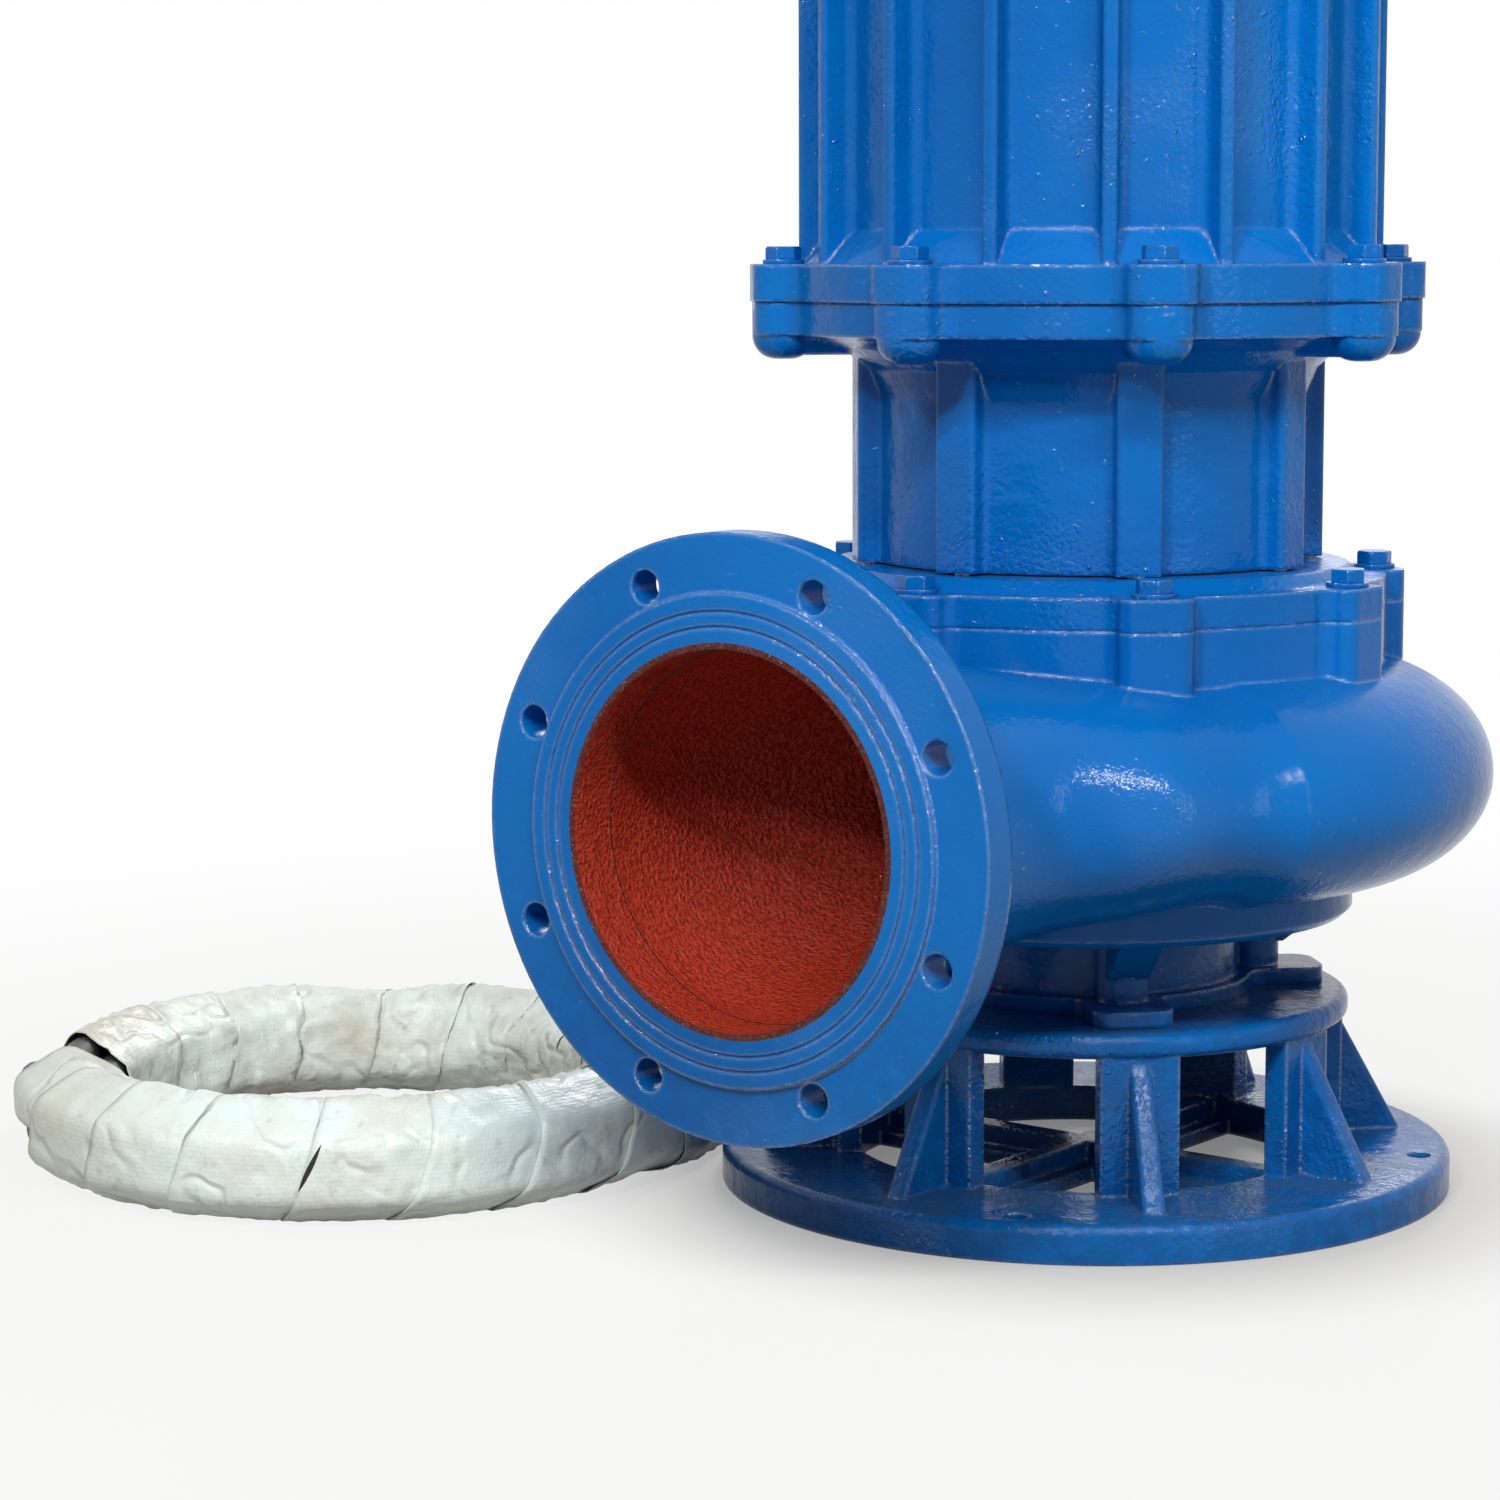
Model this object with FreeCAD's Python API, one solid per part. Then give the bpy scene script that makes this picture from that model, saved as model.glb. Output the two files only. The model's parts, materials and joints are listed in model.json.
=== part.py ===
import FreeCAD, Part
import math
import os

# Submersible sewage pump standing on its round base, in millimetres.
# Z is the shaft axis, z = 0 is the underside of the base plate,
# and the discharge flange faces -Y.

# Fits and gaps, radial unless the name says otherwise
seat_fit = 0.05
running_gap = 0.5
bolt_gap = 0.5
gasket_t = 1.2

# Clocking of the castings: angle of the first bolt lug, and the lug count
clock_deg = -91.5
lug_count = 8
feet_count = 4

# Discharge flange, DN 200 PN 6
flange_od = 320.0
flange_t = 24.0
flange_pcd = 280.0
flange_hole_d = 18.0
flange_holes = 8
raised_face_r = 129.0
raised_face_t = 3.0
groove_radii = (119.0, 111.0)
groove_w = 1.6
bore_r = 100.0
pipe_wall = 12.0
flange_face_y = -354.0
flow_z = 243.5

# Base stand
post_outer_r = 151.0
post_t = 14.0
post_w = 45.0
gusset_t = 13.0
gusset_foot_r = post_outer_r + 42.0
base_r = gusset_foot_r + 22.0
base_t = 22.0
base_open_r = post_outer_r - 13.0
base_edge_r = 5.0
base_hole_d = 14.0
base_hole_circle_r = base_r - 17.0
base_hole_shift_deg = 22.5
gusset_drop = 3.0
gusset_edge_r = 3.5
bar_foot_w = 36.0
bar_foot_t = 9.0
bar_rib_w = 14.0
bar_top_drop = 1.0
top_ring_r = post_outer_r + 3.5
top_ring_bottom = 100.0
top_ring_t = 15.0
top_ring_edge_r = 6.0
ring_open_r = 85.0
stand_bolt_circle_r = 102.0

# Volute: inlet neck, impeller chamber and bolting ring
inlet_flange_r = 98.0
inlet_flange_t = 9.5
foot_reach = 141.0
foot_w = 46.0
foot_corner_r = 12.0
foot_boss_r = 15.0
foot_web_w = 24.0
foot_web_bottom = 139.0
neck_r = 90.0
inlet_r = 78.0
rim_r = 156.0
rim_edge_r = 4.0
rim_bottom = 163.0
chamber_outer_r = 166.0
chamber_r = 154.0
chamber_floor_z = 196.0
ring_r = 172.0
ring_bottom = 292.0
seam_z = 341.0
mouth_r = 150.0
cover_groove_r = mouth_r + 8.5
lug_reach = 186.5
lug_w = 42.0
lug_corner_r = 9.0
lug_root_r = 9.0
lug_bottom = 306.0
cover_bolt_circle_r = 172.0

# Volute spiral and swan-necked discharge
spiral_start_deg = -100.0
spiral_travel_deg = 290.0
spiral_sections = 10
spiral_core_r = 153.0
spiral_start_r = 178.0
spiral_growth = 0.243
spiral_half_h = 63.5
spiral_z = 248.0
spiral_wall = 10.5

# Pump cover and oil housing
cover_bottom_gap = 5.0
cover_flange_t = 18.0
cover_land_h = 7.0
cover_land_r = 150.0
housing_r = 125.0
oil_room_r = housing_r - 13.0
housing_rib_r = housing_r + 12.5
housing_rib_w = 26.0
housing_top = 517.0
housing_flange_t = 19.0
frame_relief_r = 137.0
frame_shell_r = frame_relief_r + 13.0
joint_r = frame_shell_r + 26.0
joint_lug_w = 40.0
joint_lug_root_r = 12.0
joint_lug_reach = joint_r + 21.5
joint_bolt_circle_r = joint_r + 3.0
joint_boss_r = 18.0
joint_boss_bottom = 484.0
joint_web_w = 30.0
joint_room_r = 118.0
frame_groove_r = joint_room_r + 6.0
o_ring_r = 2.0
groove_half_w = 3.0
partition_bottom = 415.0
partition_t = 25.0
housing_screw_d = 10.0
housing_screw_circle_r = housing_r + 2.0

# Motor frame and its stator
frame_flange_t = 21.0
frame_bore_r = 130.0
frame_rib_r = frame_shell_r + 18.5
frame_rib_w = 8.5
frame_rib_root_r = 7.0
plinth_r = frame_shell_r + 16.0
plinth_h = 19.0
frame_rib_count = 16
frame_rib_first_deg = -55.0
frame_top = 925.0
frame_top_flange_t = 22.0
core_bottom = 600.0
core_h = 240.0
core_bore_r = 85.0
winding_h = 40.0
winding_in_r = 94.0
winding_out_r = 126.0
spigot_h = 12.0

# Upper bearing bracket and top cover
bracket_t = 20.0
upper_bore_drop = 42.0
cover_wall_h = 78.0
cover_dome_h = 40.0
cover_wall_r = frame_shell_r
cover_wall_t = 12.0
cover_flange_h = 18.0
eye_r = 20.0
eye_wire_r = 6.5
eye_circle_r = 92.0

# Shaft line
impeller_shaft_r = 22.5
seal_shaft_r = 25.0
collar_r = 33.0
lower_journal_r = 30.0
core_shaft_r = 37.5
upper_journal_r = 25.0
shaft_bottom = 228.0
rotor_gap = 1.0
end_ring_h = 15.0
end_ring_in_r = 58.0
end_ring_out_r = 80.0

# Bearings: outer radius, width, race walls and balls
lower_bearing_r = 65.0
lower_bearing_w = 31.0
lower_race_wall = 9.0
lower_ball_r = 10.5
lower_ball_count = 8
upper_bearing_r = 55.0
upper_bearing_w = 27.0
upper_race_wall = 7.5
upper_ball_r = 9.0
upper_ball_count = 8
ball_gap = 0.3
cage_t = 3.0
spring_t = 2.0

# Impeller
impeller_r = 145.0
eye_out_r = 70.0
eye_in_r = 62.0
eye_bottom = 150.0
eye_top = 176.0
front_rim_z = 191.0
shroud_t = 7.0
back_shroud_t = 9.0
hub_r = 40.0
vane_t = 11.0
vane_start_r = 46.0
vane_wrap_deg = 190.0
vane_count = 2
key_w = 14.0
key_h = 9.0
key_length = 48.0
cap_r = 34.0
cap_t = 9.0
wear_ring_h = 20.0

# Mechanical seals
seal_seat_r = 40.0
seal_seat_h = 11.0
seal_ring_r = 37.0
seal_ring_h = 9.0
seal_pocket = 11.0

# Fasteners, M12 and M10 sizes
m12_r = 6.0
m12_across_flats = 18.0
m12_head_h = 7.5
washer_r = 12.0
washer_t = 2.5
m10_r = 5.0
m10_head_r = 8.0
m10_head_h = 10.0
lug_bolt_depth = 30.0

# Cable gland and cable
gland_z = 998.0
gland_deg = 126.5
gland_boss_r = 32.0
gland_face_r = cover_wall_r + 26.0
gland_bore_r = 21.0
gland_body_r = 26.0
gland_body_length = 16.0
clamp_t = 8.0
clamp_half_w = 40.0
sleeve_length = 48.0
sleeve_mouth_r = 15.0
cable_r = 10.5
coil_x = -393.0
coil_y = -206.0
coil_ring_r = 174.0
coil_half_w = 34.0
coil_half_h = 32.5

# Cable route from the gland's mouth to the coil: radius from the pump axis and height
# in the gland's plane, then points on the floor
hang_points = ((321, 998), (399, 920), (393, 740), (402, 510), (395, 300), (388, 160))
floor_points = ((-239, 275, 62), (-247, 180, 10.6), (-259, 75, 10.6), (-250, -30, 10.6),
                (-224, -125, 12))


def at(radius, angle_deg, z):
    a = math.radians(angle_deg)
    return FreeCAD.Vector(radius * math.cos(a), radius * math.sin(a), z)


def v(x, y, z):
    return FreeCAD.Vector(x, y, z)


up = v(0, 0, 1)
origin = v(0, 0, 0)


def rod(radius, z0, z1, x=0.0, y=0.0):
    return Part.makeCylinder(radius, z1 - z0, v(x, y, z0), up)


def tube(outer, inner, z0, z1):
    return rod(outer, z0, z1).cut(rod(inner, z0 - 1, z1 + 1))


def turned(points):
    """Solid of revolution about Z from (radius, z) points."""
    corners = [v(r, 0, z) for r, z in points]
    outline = Part.makePolygon(corners + corners[:1])
    return Part.Face(outline).revolve(origin, up, 360)


def block(r0, r1, width, z0, z1, angle_deg=0.0):
    """Radial block, centred on the given angle."""
    solid = Part.makeBox(r1 - r0, width, z1 - z0, v(r0, -width / 2, z0))
    return turn(solid, angle_deg)


def turn(shape, angle_deg):
    copy = shape.copy()
    copy.rotate(origin, up, angle_deg)
    return copy


def around(shape, count, first_deg):
    """Copies of a shape that was made at angle zero."""
    return [turn(shape, first_deg + i * 360.0 / count) for i in range(count)]


def group(shapes):
    solids = []
    for shape in shapes:
        solids += shape.Solids
    return Part.makeCompound(solids)


def join(first, others):
    return first.fuse(others).removeSplitter()


def hexagon(across_flats, z0, z1):
    """Hexagonal prism standing on z0 at the origin."""
    corner = across_flats / math.sqrt(3)
    corners = [at(corner, 60 * i, z0) for i in range(7)]
    prism = Part.Face(Part.makePolygon(corners)).extrude(v(0, 0, z1 - z0))
    trim = Part.makeCone(corner * 1.6, corner * 0.9, z1 - z0, v(0, 0, z0), up)
    return prism.common(trim)


def save(name, shape):
    solids = shape.Solids
    if len(solids) == 1:
        shape = solids[0]
    shape.exportStep("parts/" + name + ".step")


def lug(reach, width, corner_r, z0, z1, ring_r, root_r):
    """Rounded lug or rib at angle zero, blended into a ring by root arcs on both sides."""
    half = width / 2
    inner_r = ring_r - 6
    centre_x = math.sqrt((ring_r + root_r) ** 2 - (half + root_r) ** 2)
    touch = math.atan2(half + root_r, centre_x)
    middle = math.pi + (touch + math.pi / 2) / 2
    side = []
    for sign in (1, -1):
        centre = v(centre_x, sign * (half + root_r), z0)
        corner = v(reach - corner_r, sign * (half - corner_r), z0)
        low = v(ring_r * math.cos(touch), sign * ring_r * math.sin(touch), z0)
        bend = centre + v(root_r * math.cos(middle), sign * root_r * math.sin(middle), 0)
        foot = v(centre_x, sign * half, z0)
        shoulder = v(reach - corner_r, sign * half, z0)
        turned_in = corner + v(corner_r * math.cos(math.pi / 4),
                               sign * corner_r * math.sin(math.pi / 4), 0)
        end = v(reach, sign * (half - corner_r), z0)
        base = v(inner_r * math.cos(touch), sign * inner_r * math.sin(touch), z0)
        side.append((base, low, bend, foot, shoulder, turned_in, end))
    edges = []
    for base, low, bend, foot, shoulder, turned_in, end in side:
        edges.append(Part.LineSegment(base, low).toShape())
        edges.append(Part.Arc(low, bend, foot).toShape())
        edges.append(Part.LineSegment(foot, shoulder).toShape())
        edges.append(Part.Arc(shoulder, turned_in, end).toShape())
    edges.append(Part.LineSegment(side[0][6], side[1][6]).toShape())
    edges.append(Part.LineSegment(side[0][0], side[1][0]).toShape())
    outline = Part.Wire(Part.__sortEdges__(edges))
    return Part.Face(outline).extrude(v(0, 0, z1 - z0))


def bolts(circle_r, seat_z, depth):
    """Hexagon bolts with the washer under the head, at the lugs."""
    shank = rod(m12_r, seat_z - depth, seat_z + washer_t + m12_head_h / 2)
    head = hexagon(m12_across_flats, seat_z + washer_t, seat_z + washer_t + m12_head_h)
    bolt = shank.fuse(head)
    bolt.translate(v(circle_r, 0, 0))
    washer = tube(washer_r, m12_r + seat_fit, seat_z, seat_z + washer_t)
    washer.translate(v(circle_r, 0, 0))
    return (group(around(bolt, lug_count, clock_deg)),
            group(around(washer, lug_count, clock_deg)))


def ring_groove(radius, face_z):
    """Groove for an O-ring in a joint's lower face."""
    return tube(radius + groove_half_w, radius - groove_half_w, face_z - 2 * o_ring_r, face_z + 1)


def bolt_holes(circle_r, z0, z1, count, first_deg, radius):
    return around(rod(radius, z0, z1, circle_r), count, first_deg)


# Base stand

def base_stand():
    ring_top = top_ring_bottom + top_ring_t
    plate = tube(base_r, base_open_r, 0, base_t)
    rim = [e for e in plate.Edges if abs(e.BoundBox.ZMin - base_t) < 1e-6
           and e.BoundBox.XMax > base_r - 1]
    plate = plate.makeFillet(base_edge_r, rim)

    ring = tube(top_ring_r, ring_open_r, top_ring_bottom, ring_top)
    rims = [e for e in ring.Edges if e.BoundBox.XMax > top_ring_r - 1
            and e.BoundBox.ZLength < 1e-6]
    ring = ring.makeFillet(top_ring_edge_r, rims)

    post = block(post_outer_r - post_t, post_outer_r, post_w, base_t - 1, top_ring_bottom + 1)
    gusset_side = [v(post_outer_r - 8, 0, base_t - 1), v(gusset_foot_r, 0, base_t - 1),
                   v(post_outer_r, 0, top_ring_bottom - gusset_drop),
                   v(post_outer_r - 8, 0, top_ring_bottom - gusset_drop)]
    outline = Part.makePolygon(gusset_side + gusset_side[:1])
    gusset = Part.Face(outline).extrude(v(0, gusset_t, 0))
    gusset.translate(v(0, -gusset_t / 2, 0))
    slopes = [e for e in gusset.Edges if e.BoundBox.XLength > 20 and e.BoundBox.ZLength > 20]
    gusset = gusset.makeFillet(gusset_edge_r, slopes)

    reach = base_open_r + 2
    foot = Part.makeBox(2 * reach, bar_foot_w, bar_foot_t, v(-reach, -bar_foot_w / 2, 0))
    rib = Part.makeBox(2 * reach, bar_rib_w, base_t - bar_top_drop,
                       v(-reach, -bar_rib_w / 2, 0))
    bar = foot.fuse(rib)
    stand = plate.fuse([ring] + around(post.fuse(gusset), lug_count, clock_deg)
                       + [turn(bar, clock_deg), turn(bar, clock_deg + 90)])
    holes = bolt_holes(base_hole_circle_r, -1, base_t + 1, feet_count,
                       clock_deg + base_hole_shift_deg, base_hole_d / 2)
    holes += bolt_holes(stand_bolt_circle_r, top_ring_bottom - 1, ring_top + 1, feet_count,
                        clock_deg + 45, m12_r + bolt_gap)
    return stand.cut(holes).removeSplitter()


def stand_bolts():
    """Bolts from below the ring plate up into the volute's bosses."""
    bottom = top_ring_bottom
    shank = rod(m12_r, bottom - m12_head_h / 2, bottom + top_ring_t + 25)
    head = hexagon(m12_across_flats, bottom - m12_head_h, bottom)
    bolt = shank.fuse(head)
    bolt.translate(v(stand_bolt_circle_r, 0, 0))
    return group(around(bolt, feet_count, clock_deg + 45))


# Volute casing

def section(centre, outward_deg, half_w, half_h):
    """Closed oval section wire, upright, with its width along the outward direction."""
    outward = at(1.0, outward_deg, 0)
    points = []
    for i in range(12):
        a = math.radians(30 * i)
        points.append(centre + outward * (half_w * math.cos(a)) + up * (half_h * math.sin(a)))
    curve = Part.BSplineCurve()
    curve.interpolate(points, PeriodicFlag=True)
    return Part.Wire([curve.toShape()])


def loft(wires):
    solid = Part.makeLoft(wires, True, False)
    if solid.Volume < 0:
        solid.reverse()
    return solid


def spiral(wall):
    """Spiral part of the casing, shrunk by the wall; its last section is also returned."""
    wires = []
    for i in range(spiral_sections + 1):
        travel = spiral_travel_deg * i / spiral_sections
        angle = spiral_start_deg - travel
        half_w = spiral_start_r + spiral_growth * travel - spiral_core_r - wall
        wires.append(section(at(spiral_core_r, angle, spiral_z), angle, half_w,
                             spiral_half_h - wall))
    return loft(wires), wires[-1]


def swan_neck(first, wall):
    """Discharge from the spiral's last section to the flange, shrunk by the wall."""
    outer_r = bore_r + pipe_wall
    # centre x, y, z, outward angle, half width, half height
    stations = ((105, -110, 248, -44, 102, 64), (82, -147, 247.5, -38, 93, 67),
                (55, -180, 247, -28, 89, 73), (28, -213, 246, -19, 97, 84),
                (8, -251, 245, -9, 106, 96), (1, -293, 244, -1, 111, 107))
    wires = [first]
    for x, y, z, angle, half_w, half_h in stations:
        wires.append(section(v(x, y, z), angle, half_w - wall, half_h - wall))
    end_r = bore_r - 2 if wall else outer_r
    end_y = flange_face_y + flange_t + (0 if wall else -6)
    wires.append(section(v(0, end_y, flow_z), 0, end_r, end_r))
    return loft(wires)


def passage(wall):
    turns, last = spiral(wall)
    return [turns, swan_neck(last, wall)]


def discharge_flange():
    away = v(0, -1, 0)
    back = flange_face_y + flange_t
    body_t = flange_t - raised_face_t
    disc = Part.makeCylinder(flange_od / 2, body_t, v(0, back, flow_z), away)
    face = Part.makeCylinder(raised_face_r, flange_t, v(0, back, flow_z), away)
    flange = disc.fuse(face)
    cuts = []
    for radius in groove_radii:
        start = v(0, flange_face_y + 1, flow_z)
        outer = Part.makeCylinder(radius + groove_w, 3, start, away)
        cuts.append(outer.cut(Part.makeCylinder(radius, 3, start, away)))
    for i in range(flange_holes):
        a = math.radians(360.0 / flange_holes * (i + 0.5))
        x = flange_pcd / 2 * math.cos(a)
        z = flow_z + flange_pcd / 2 * math.sin(a)
        cuts.append(Part.makeCylinder(flange_hole_d / 2, flange_t + 2, v(x, back + 1, z), away))
    return flange.cut(cuts)


def volute_casing():
    foot_bottom = top_ring_bottom + top_ring_t
    foot_top = foot_bottom + inlet_flange_t
    barrel = turned([(0, foot_bottom), (inlet_flange_r, foot_bottom),
                     (inlet_flange_r, foot_top), (neck_r, foot_top), (neck_r, rim_bottom),
                     (rim_r - rim_edge_r, rim_bottom), (rim_r, rim_bottom + rim_edge_r),
                     (rim_r, chamber_floor_z - 10), (chamber_outer_r, chamber_floor_z),
                     (chamber_outer_r, ring_bottom), (ring_r, ring_bottom + 6),
                     (ring_r, seam_z), (0, seam_z)])
    boss = rod(foot_boss_r, foot_top - 1, rim_bottom + 1, stand_bolt_circle_r)
    web_side = [v(neck_r, 0, foot_web_bottom),
                v(stand_bolt_circle_r + foot_boss_r, 0, foot_web_bottom),
                v(rim_r - rim_edge_r, 0, rim_bottom + 1), v(neck_r, 0, rim_bottom + 1)]
    web = Part.Face(Part.makePolygon(web_side + web_side[:1])).extrude(v(0, foot_web_w, 0))
    web.translate(v(0, -foot_web_w / 2, 0))
    foot = lug(foot_reach, foot_w, foot_corner_r, foot_bottom, foot_top, inlet_flange_r,
               foot_corner_r)
    foot = foot.fuse([boss, web])
    top_lug = lug(lug_reach, lug_w, lug_corner_r, lug_bottom, seam_z, ring_r, lug_root_r)
    solid = barrel.fuse(passage(0) + [discharge_flange()]
                        + around(foot, feet_count, clock_deg + 45)
                        + around(top_lug, lug_count, clock_deg))

    room = turned([(0, foot_bottom - 1), (inlet_r, foot_bottom - 1), (inlet_r, wear_top),
                   (chamber_r - 8, front_rim_z - shroud_t - 5), (chamber_r, front_rim_z),
                   (chamber_r, ring_bottom), (mouth_r, ring_bottom), (mouth_r, seam_z + 1),
                   (0, seam_z + 1)])
    end_y = flange_face_y + flange_t + 6
    bore = Part.makeCylinder(bore_r, flange_t + 8, v(0, end_y, flow_z), v(0, -1, 0))
    cuts = [room, bore] + passage(spiral_wall)
    cuts += bolt_holes(stand_bolt_circle_r, foot_bottom - 1, foot_bottom + 28, feet_count,
                       clock_deg + 45, m12_r + seat_fit)
    cuts += bolt_holes(cover_bolt_circle_r, seam_z - lug_bolt_depth + 12, seam_z + 1,
                       lug_count, clock_deg, m12_r + seat_fit)
    cuts.append(ring_groove(cover_groove_r, seam_z))
    return solid.cut(cuts)


wear_top = eye_top - 4


def wear_ring():
    return tube(inlet_r - seat_fit, eye_out_r + running_gap, wear_top - wear_ring_h, wear_top)


# Pump cover and oil housing

cover_bottom = seam_z - 45.0
cover_seat = seam_z + cover_flange_t
land_top = cover_seat + cover_land_h
housing_bottom = land_top + gasket_t
lower_seat_top = cover_bottom + 35.0
upper_seat_bottom = partition_bottom + 3.0


def pump_cover():
    hub_top = cover_bottom + 35
    body = turned([(seal_shaft_r + 3, cover_bottom), (mouth_r - seat_fit, cover_bottom),
                   (mouth_r - seat_fit, seam_z), (ring_r, seam_z), (ring_r, cover_seat),
                   (cover_land_r + 10, cover_seat), (cover_land_r, land_top),
                   (oil_room_r, land_top), (oil_room_r, cover_bottom + 16),
                   (62, cover_bottom + 16), (62, hub_top),
                   (seal_seat_r + seat_fit, hub_top),
                   (seal_seat_r + seat_fit, hub_top - seal_pocket),
                   (seal_shaft_r + 3, hub_top - seal_pocket)])
    top_lug = lug(lug_reach, lug_w, lug_corner_r, seam_z, cover_seat, ring_r, lug_root_r)
    body = body.fuse(around(top_lug, lug_count, clock_deg))
    cuts = bolt_holes(cover_bolt_circle_r, seam_z - 1, cover_seat + 1, lug_count, clock_deg,
                      m12_r + bolt_gap)
    cuts += bolt_holes(housing_screw_circle_r, cover_bottom - 1, land_top + 1, lug_count,
                       clock_deg, m10_r + bolt_gap)
    cuts += bolt_holes(housing_screw_circle_r, cover_bottom - 1, cover_bottom + m10_head_h + 2,
                       lug_count, clock_deg, m10_head_r + bolt_gap)
    return body.cut(cuts).removeSplitter()


def housing_screws():
    seat = cover_bottom + m10_head_h + 2
    head = rod(m10_head_r, seat - m10_head_h, seat)
    shank = rod(m10_r, seat - 1, housing_bottom + 18)
    socket = hexagon(8, seat - m10_head_h - 1, seat - m10_head_h + 5)
    screw = head.fuse(shank).cut(socket)
    screw.translate(v(housing_screw_circle_r, 0, 0))
    return group(around(screw, lug_count, clock_deg))


def oil_housing():
    flange_bottom = housing_top - housing_flange_t
    bearing_floor = partition_bottom + partition_t
    bearing_top = bearing_floor + lower_bearing_w
    pocket_top = upper_seat_bottom + seal_pocket
    body = turned([(oil_room_r, housing_bottom), (housing_r, housing_bottom),
                   (housing_r, flange_bottom - 36), (housing_r + 6, flange_bottom - 20),
                   (housing_r + 19, flange_bottom - 8), (joint_r - 12, flange_bottom - 2),
                   (joint_r - 2, flange_bottom), (joint_r - 2, housing_top),
                   (joint_room_r, housing_top),
                   (joint_room_r, bearing_top + 9),
                   (lower_bearing_r + seat_fit, bearing_top + 9),
                   (lower_bearing_r + seat_fit, bearing_floor),
                   (lower_journal_r + 1, bearing_floor), (lower_journal_r + 1, pocket_top),
                   (seal_seat_r + seat_fit, pocket_top),
                   (seal_seat_r + seat_fit, partition_bottom), (oil_room_r, partition_bottom)])
    rib = lug(housing_rib_r, housing_rib_w, 3, housing_bottom, flange_bottom, housing_r, 5)
    boss = rod(joint_boss_r, joint_boss_bottom, housing_top - 5, joint_bolt_circle_r)
    low_edge = [e for e in boss.Edges if abs(e.BoundBox.ZMax - joint_boss_bottom) < 1e-6]
    boss = boss.makeFillet(joint_boss_r * 0.75, low_edge)
    web = block(housing_r, joint_bolt_circle_r - 5, joint_web_w, joint_boss_bottom + 2,
                flange_bottom + 5)
    web_edges = [e for e in web.Edges if e.BoundBox.XLength > 20
                 and abs(e.BoundBox.ZMax - joint_boss_bottom - 2) < 1e-6]
    web = web.makeFillet(joint_web_w * 0.4, web_edges)
    ear = lug(joint_lug_reach - 1, joint_lug_w - 3, joint_lug_w * 0.35, flange_bottom,
              housing_top, joint_r - 2, joint_lug_root_r)
    body = body.fuse(around(rib.fuse([boss, web, ear]), lug_count, clock_deg))
    cuts = bolt_holes(joint_bolt_circle_r, housing_top - lug_bolt_depth + 12, housing_top + 1,
                      lug_count, clock_deg, m12_r + seat_fit)
    cuts += bolt_holes(housing_screw_circle_r, housing_bottom - 1, housing_bottom + 20,
                       lug_count, clock_deg, m10_r + seat_fit)
    cuts.append(ring_groove(frame_groove_r, housing_top))
    plug_way = Part.makeCylinder(9, 40, at(oil_room_r - 10, plug_deg, plug_z),
                                 at(1, plug_deg, 0))
    probe_way = Part.makeCylinder(7, 40, at(oil_room_r - 10, probe_deg, plug_z),
                                  at(1, probe_deg, 0))
    return body.cut(cuts + [plug_way, probe_way]).removeSplitter()


plug_deg = clock_deg + 202.5
probe_deg = clock_deg + 247.5
plug_z = 400.0


def side_plug(radius, angle_deg, across_flats, inner_r):
    """Hexagon plug screwed into the oil housing's side."""
    out = at(1, angle_deg, 0)
    shank = Part.makeCylinder(radius - seat_fit, housing_r + 4 - inner_r,
                              at(inner_r, angle_deg, plug_z), out)
    head = hexagon(across_flats, 0, 8)
    head.rotate(origin, v(0, 1, 0), 90)
    head.rotate(origin, up, angle_deg)
    head.translate(at(housing_r + 1, angle_deg, plug_z))
    return shank.fuse(head)


def leak_probe():
    rod_part = Part.makeCylinder(4, 32, at(oil_room_r - 36, probe_deg, plug_z),
                                 at(1, probe_deg, 0))
    return side_plug(7, probe_deg, 19, oil_room_r - 5).fuse(rod_part)


def ring_seal(radius, section_r, z):
    return Part.makeTorus(radius, section_r, v(0, 0, z), up)


# Motor frame and stator

frame_seat = housing_top + frame_flange_t


def frame_lugs(z0, z1):
    return around(lug(joint_lug_reach, joint_lug_w, joint_lug_w * 0.35, z0, z1, joint_r,
                      joint_lug_root_r), lug_count, clock_deg)


def motor_frame():
    top_bottom = frame_top - frame_top_flange_t
    core_top = core_bottom + core_h
    body = turned([(joint_room_r - seat_fit, housing_top - spigot_h),
                   (joint_room_r - seat_fit, housing_top), (joint_r, housing_top),
                   (joint_r, frame_seat), (plinth_r, frame_seat),
                   (frame_shell_r, frame_seat + plinth_h), (frame_shell_r, top_bottom - 8),
                   (frame_shell_r + 6, top_bottom), (joint_r, top_bottom),
                   (joint_r, frame_top), (frame_relief_r, frame_top),
                   (frame_relief_r, core_top), (frame_bore_r, core_top),
                   (frame_bore_r, core_bottom), (frame_relief_r, core_bottom),
                   (frame_relief_r, frame_seat + 10), (joint_room_r - 8, frame_seat - 6),
                   (joint_room_r - 8, housing_top - spigot_h)])
    rib = lug(frame_rib_r, frame_rib_w, 2.5, frame_seat - 1, top_bottom + 1, frame_shell_r,
              frame_rib_root_r)
    body = body.fuse(around(rib, frame_rib_count, frame_rib_first_deg)
                     + frame_lugs(housing_top, frame_seat) + frame_lugs(top_bottom, frame_top))
    cuts = bolt_holes(joint_bolt_circle_r, housing_top - 1, frame_seat + 1, lug_count,
                      clock_deg, m12_r + bolt_gap)
    cuts += bolt_holes(joint_bolt_circle_r, top_bottom - 1, frame_top + 1, lug_count,
                       clock_deg, m12_r + seat_fit)
    return body.cut(cuts).removeSplitter()


def stator_core():
    return tube(frame_bore_r - seat_fit, core_bore_r, core_bottom, core_bottom + core_h)


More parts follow.
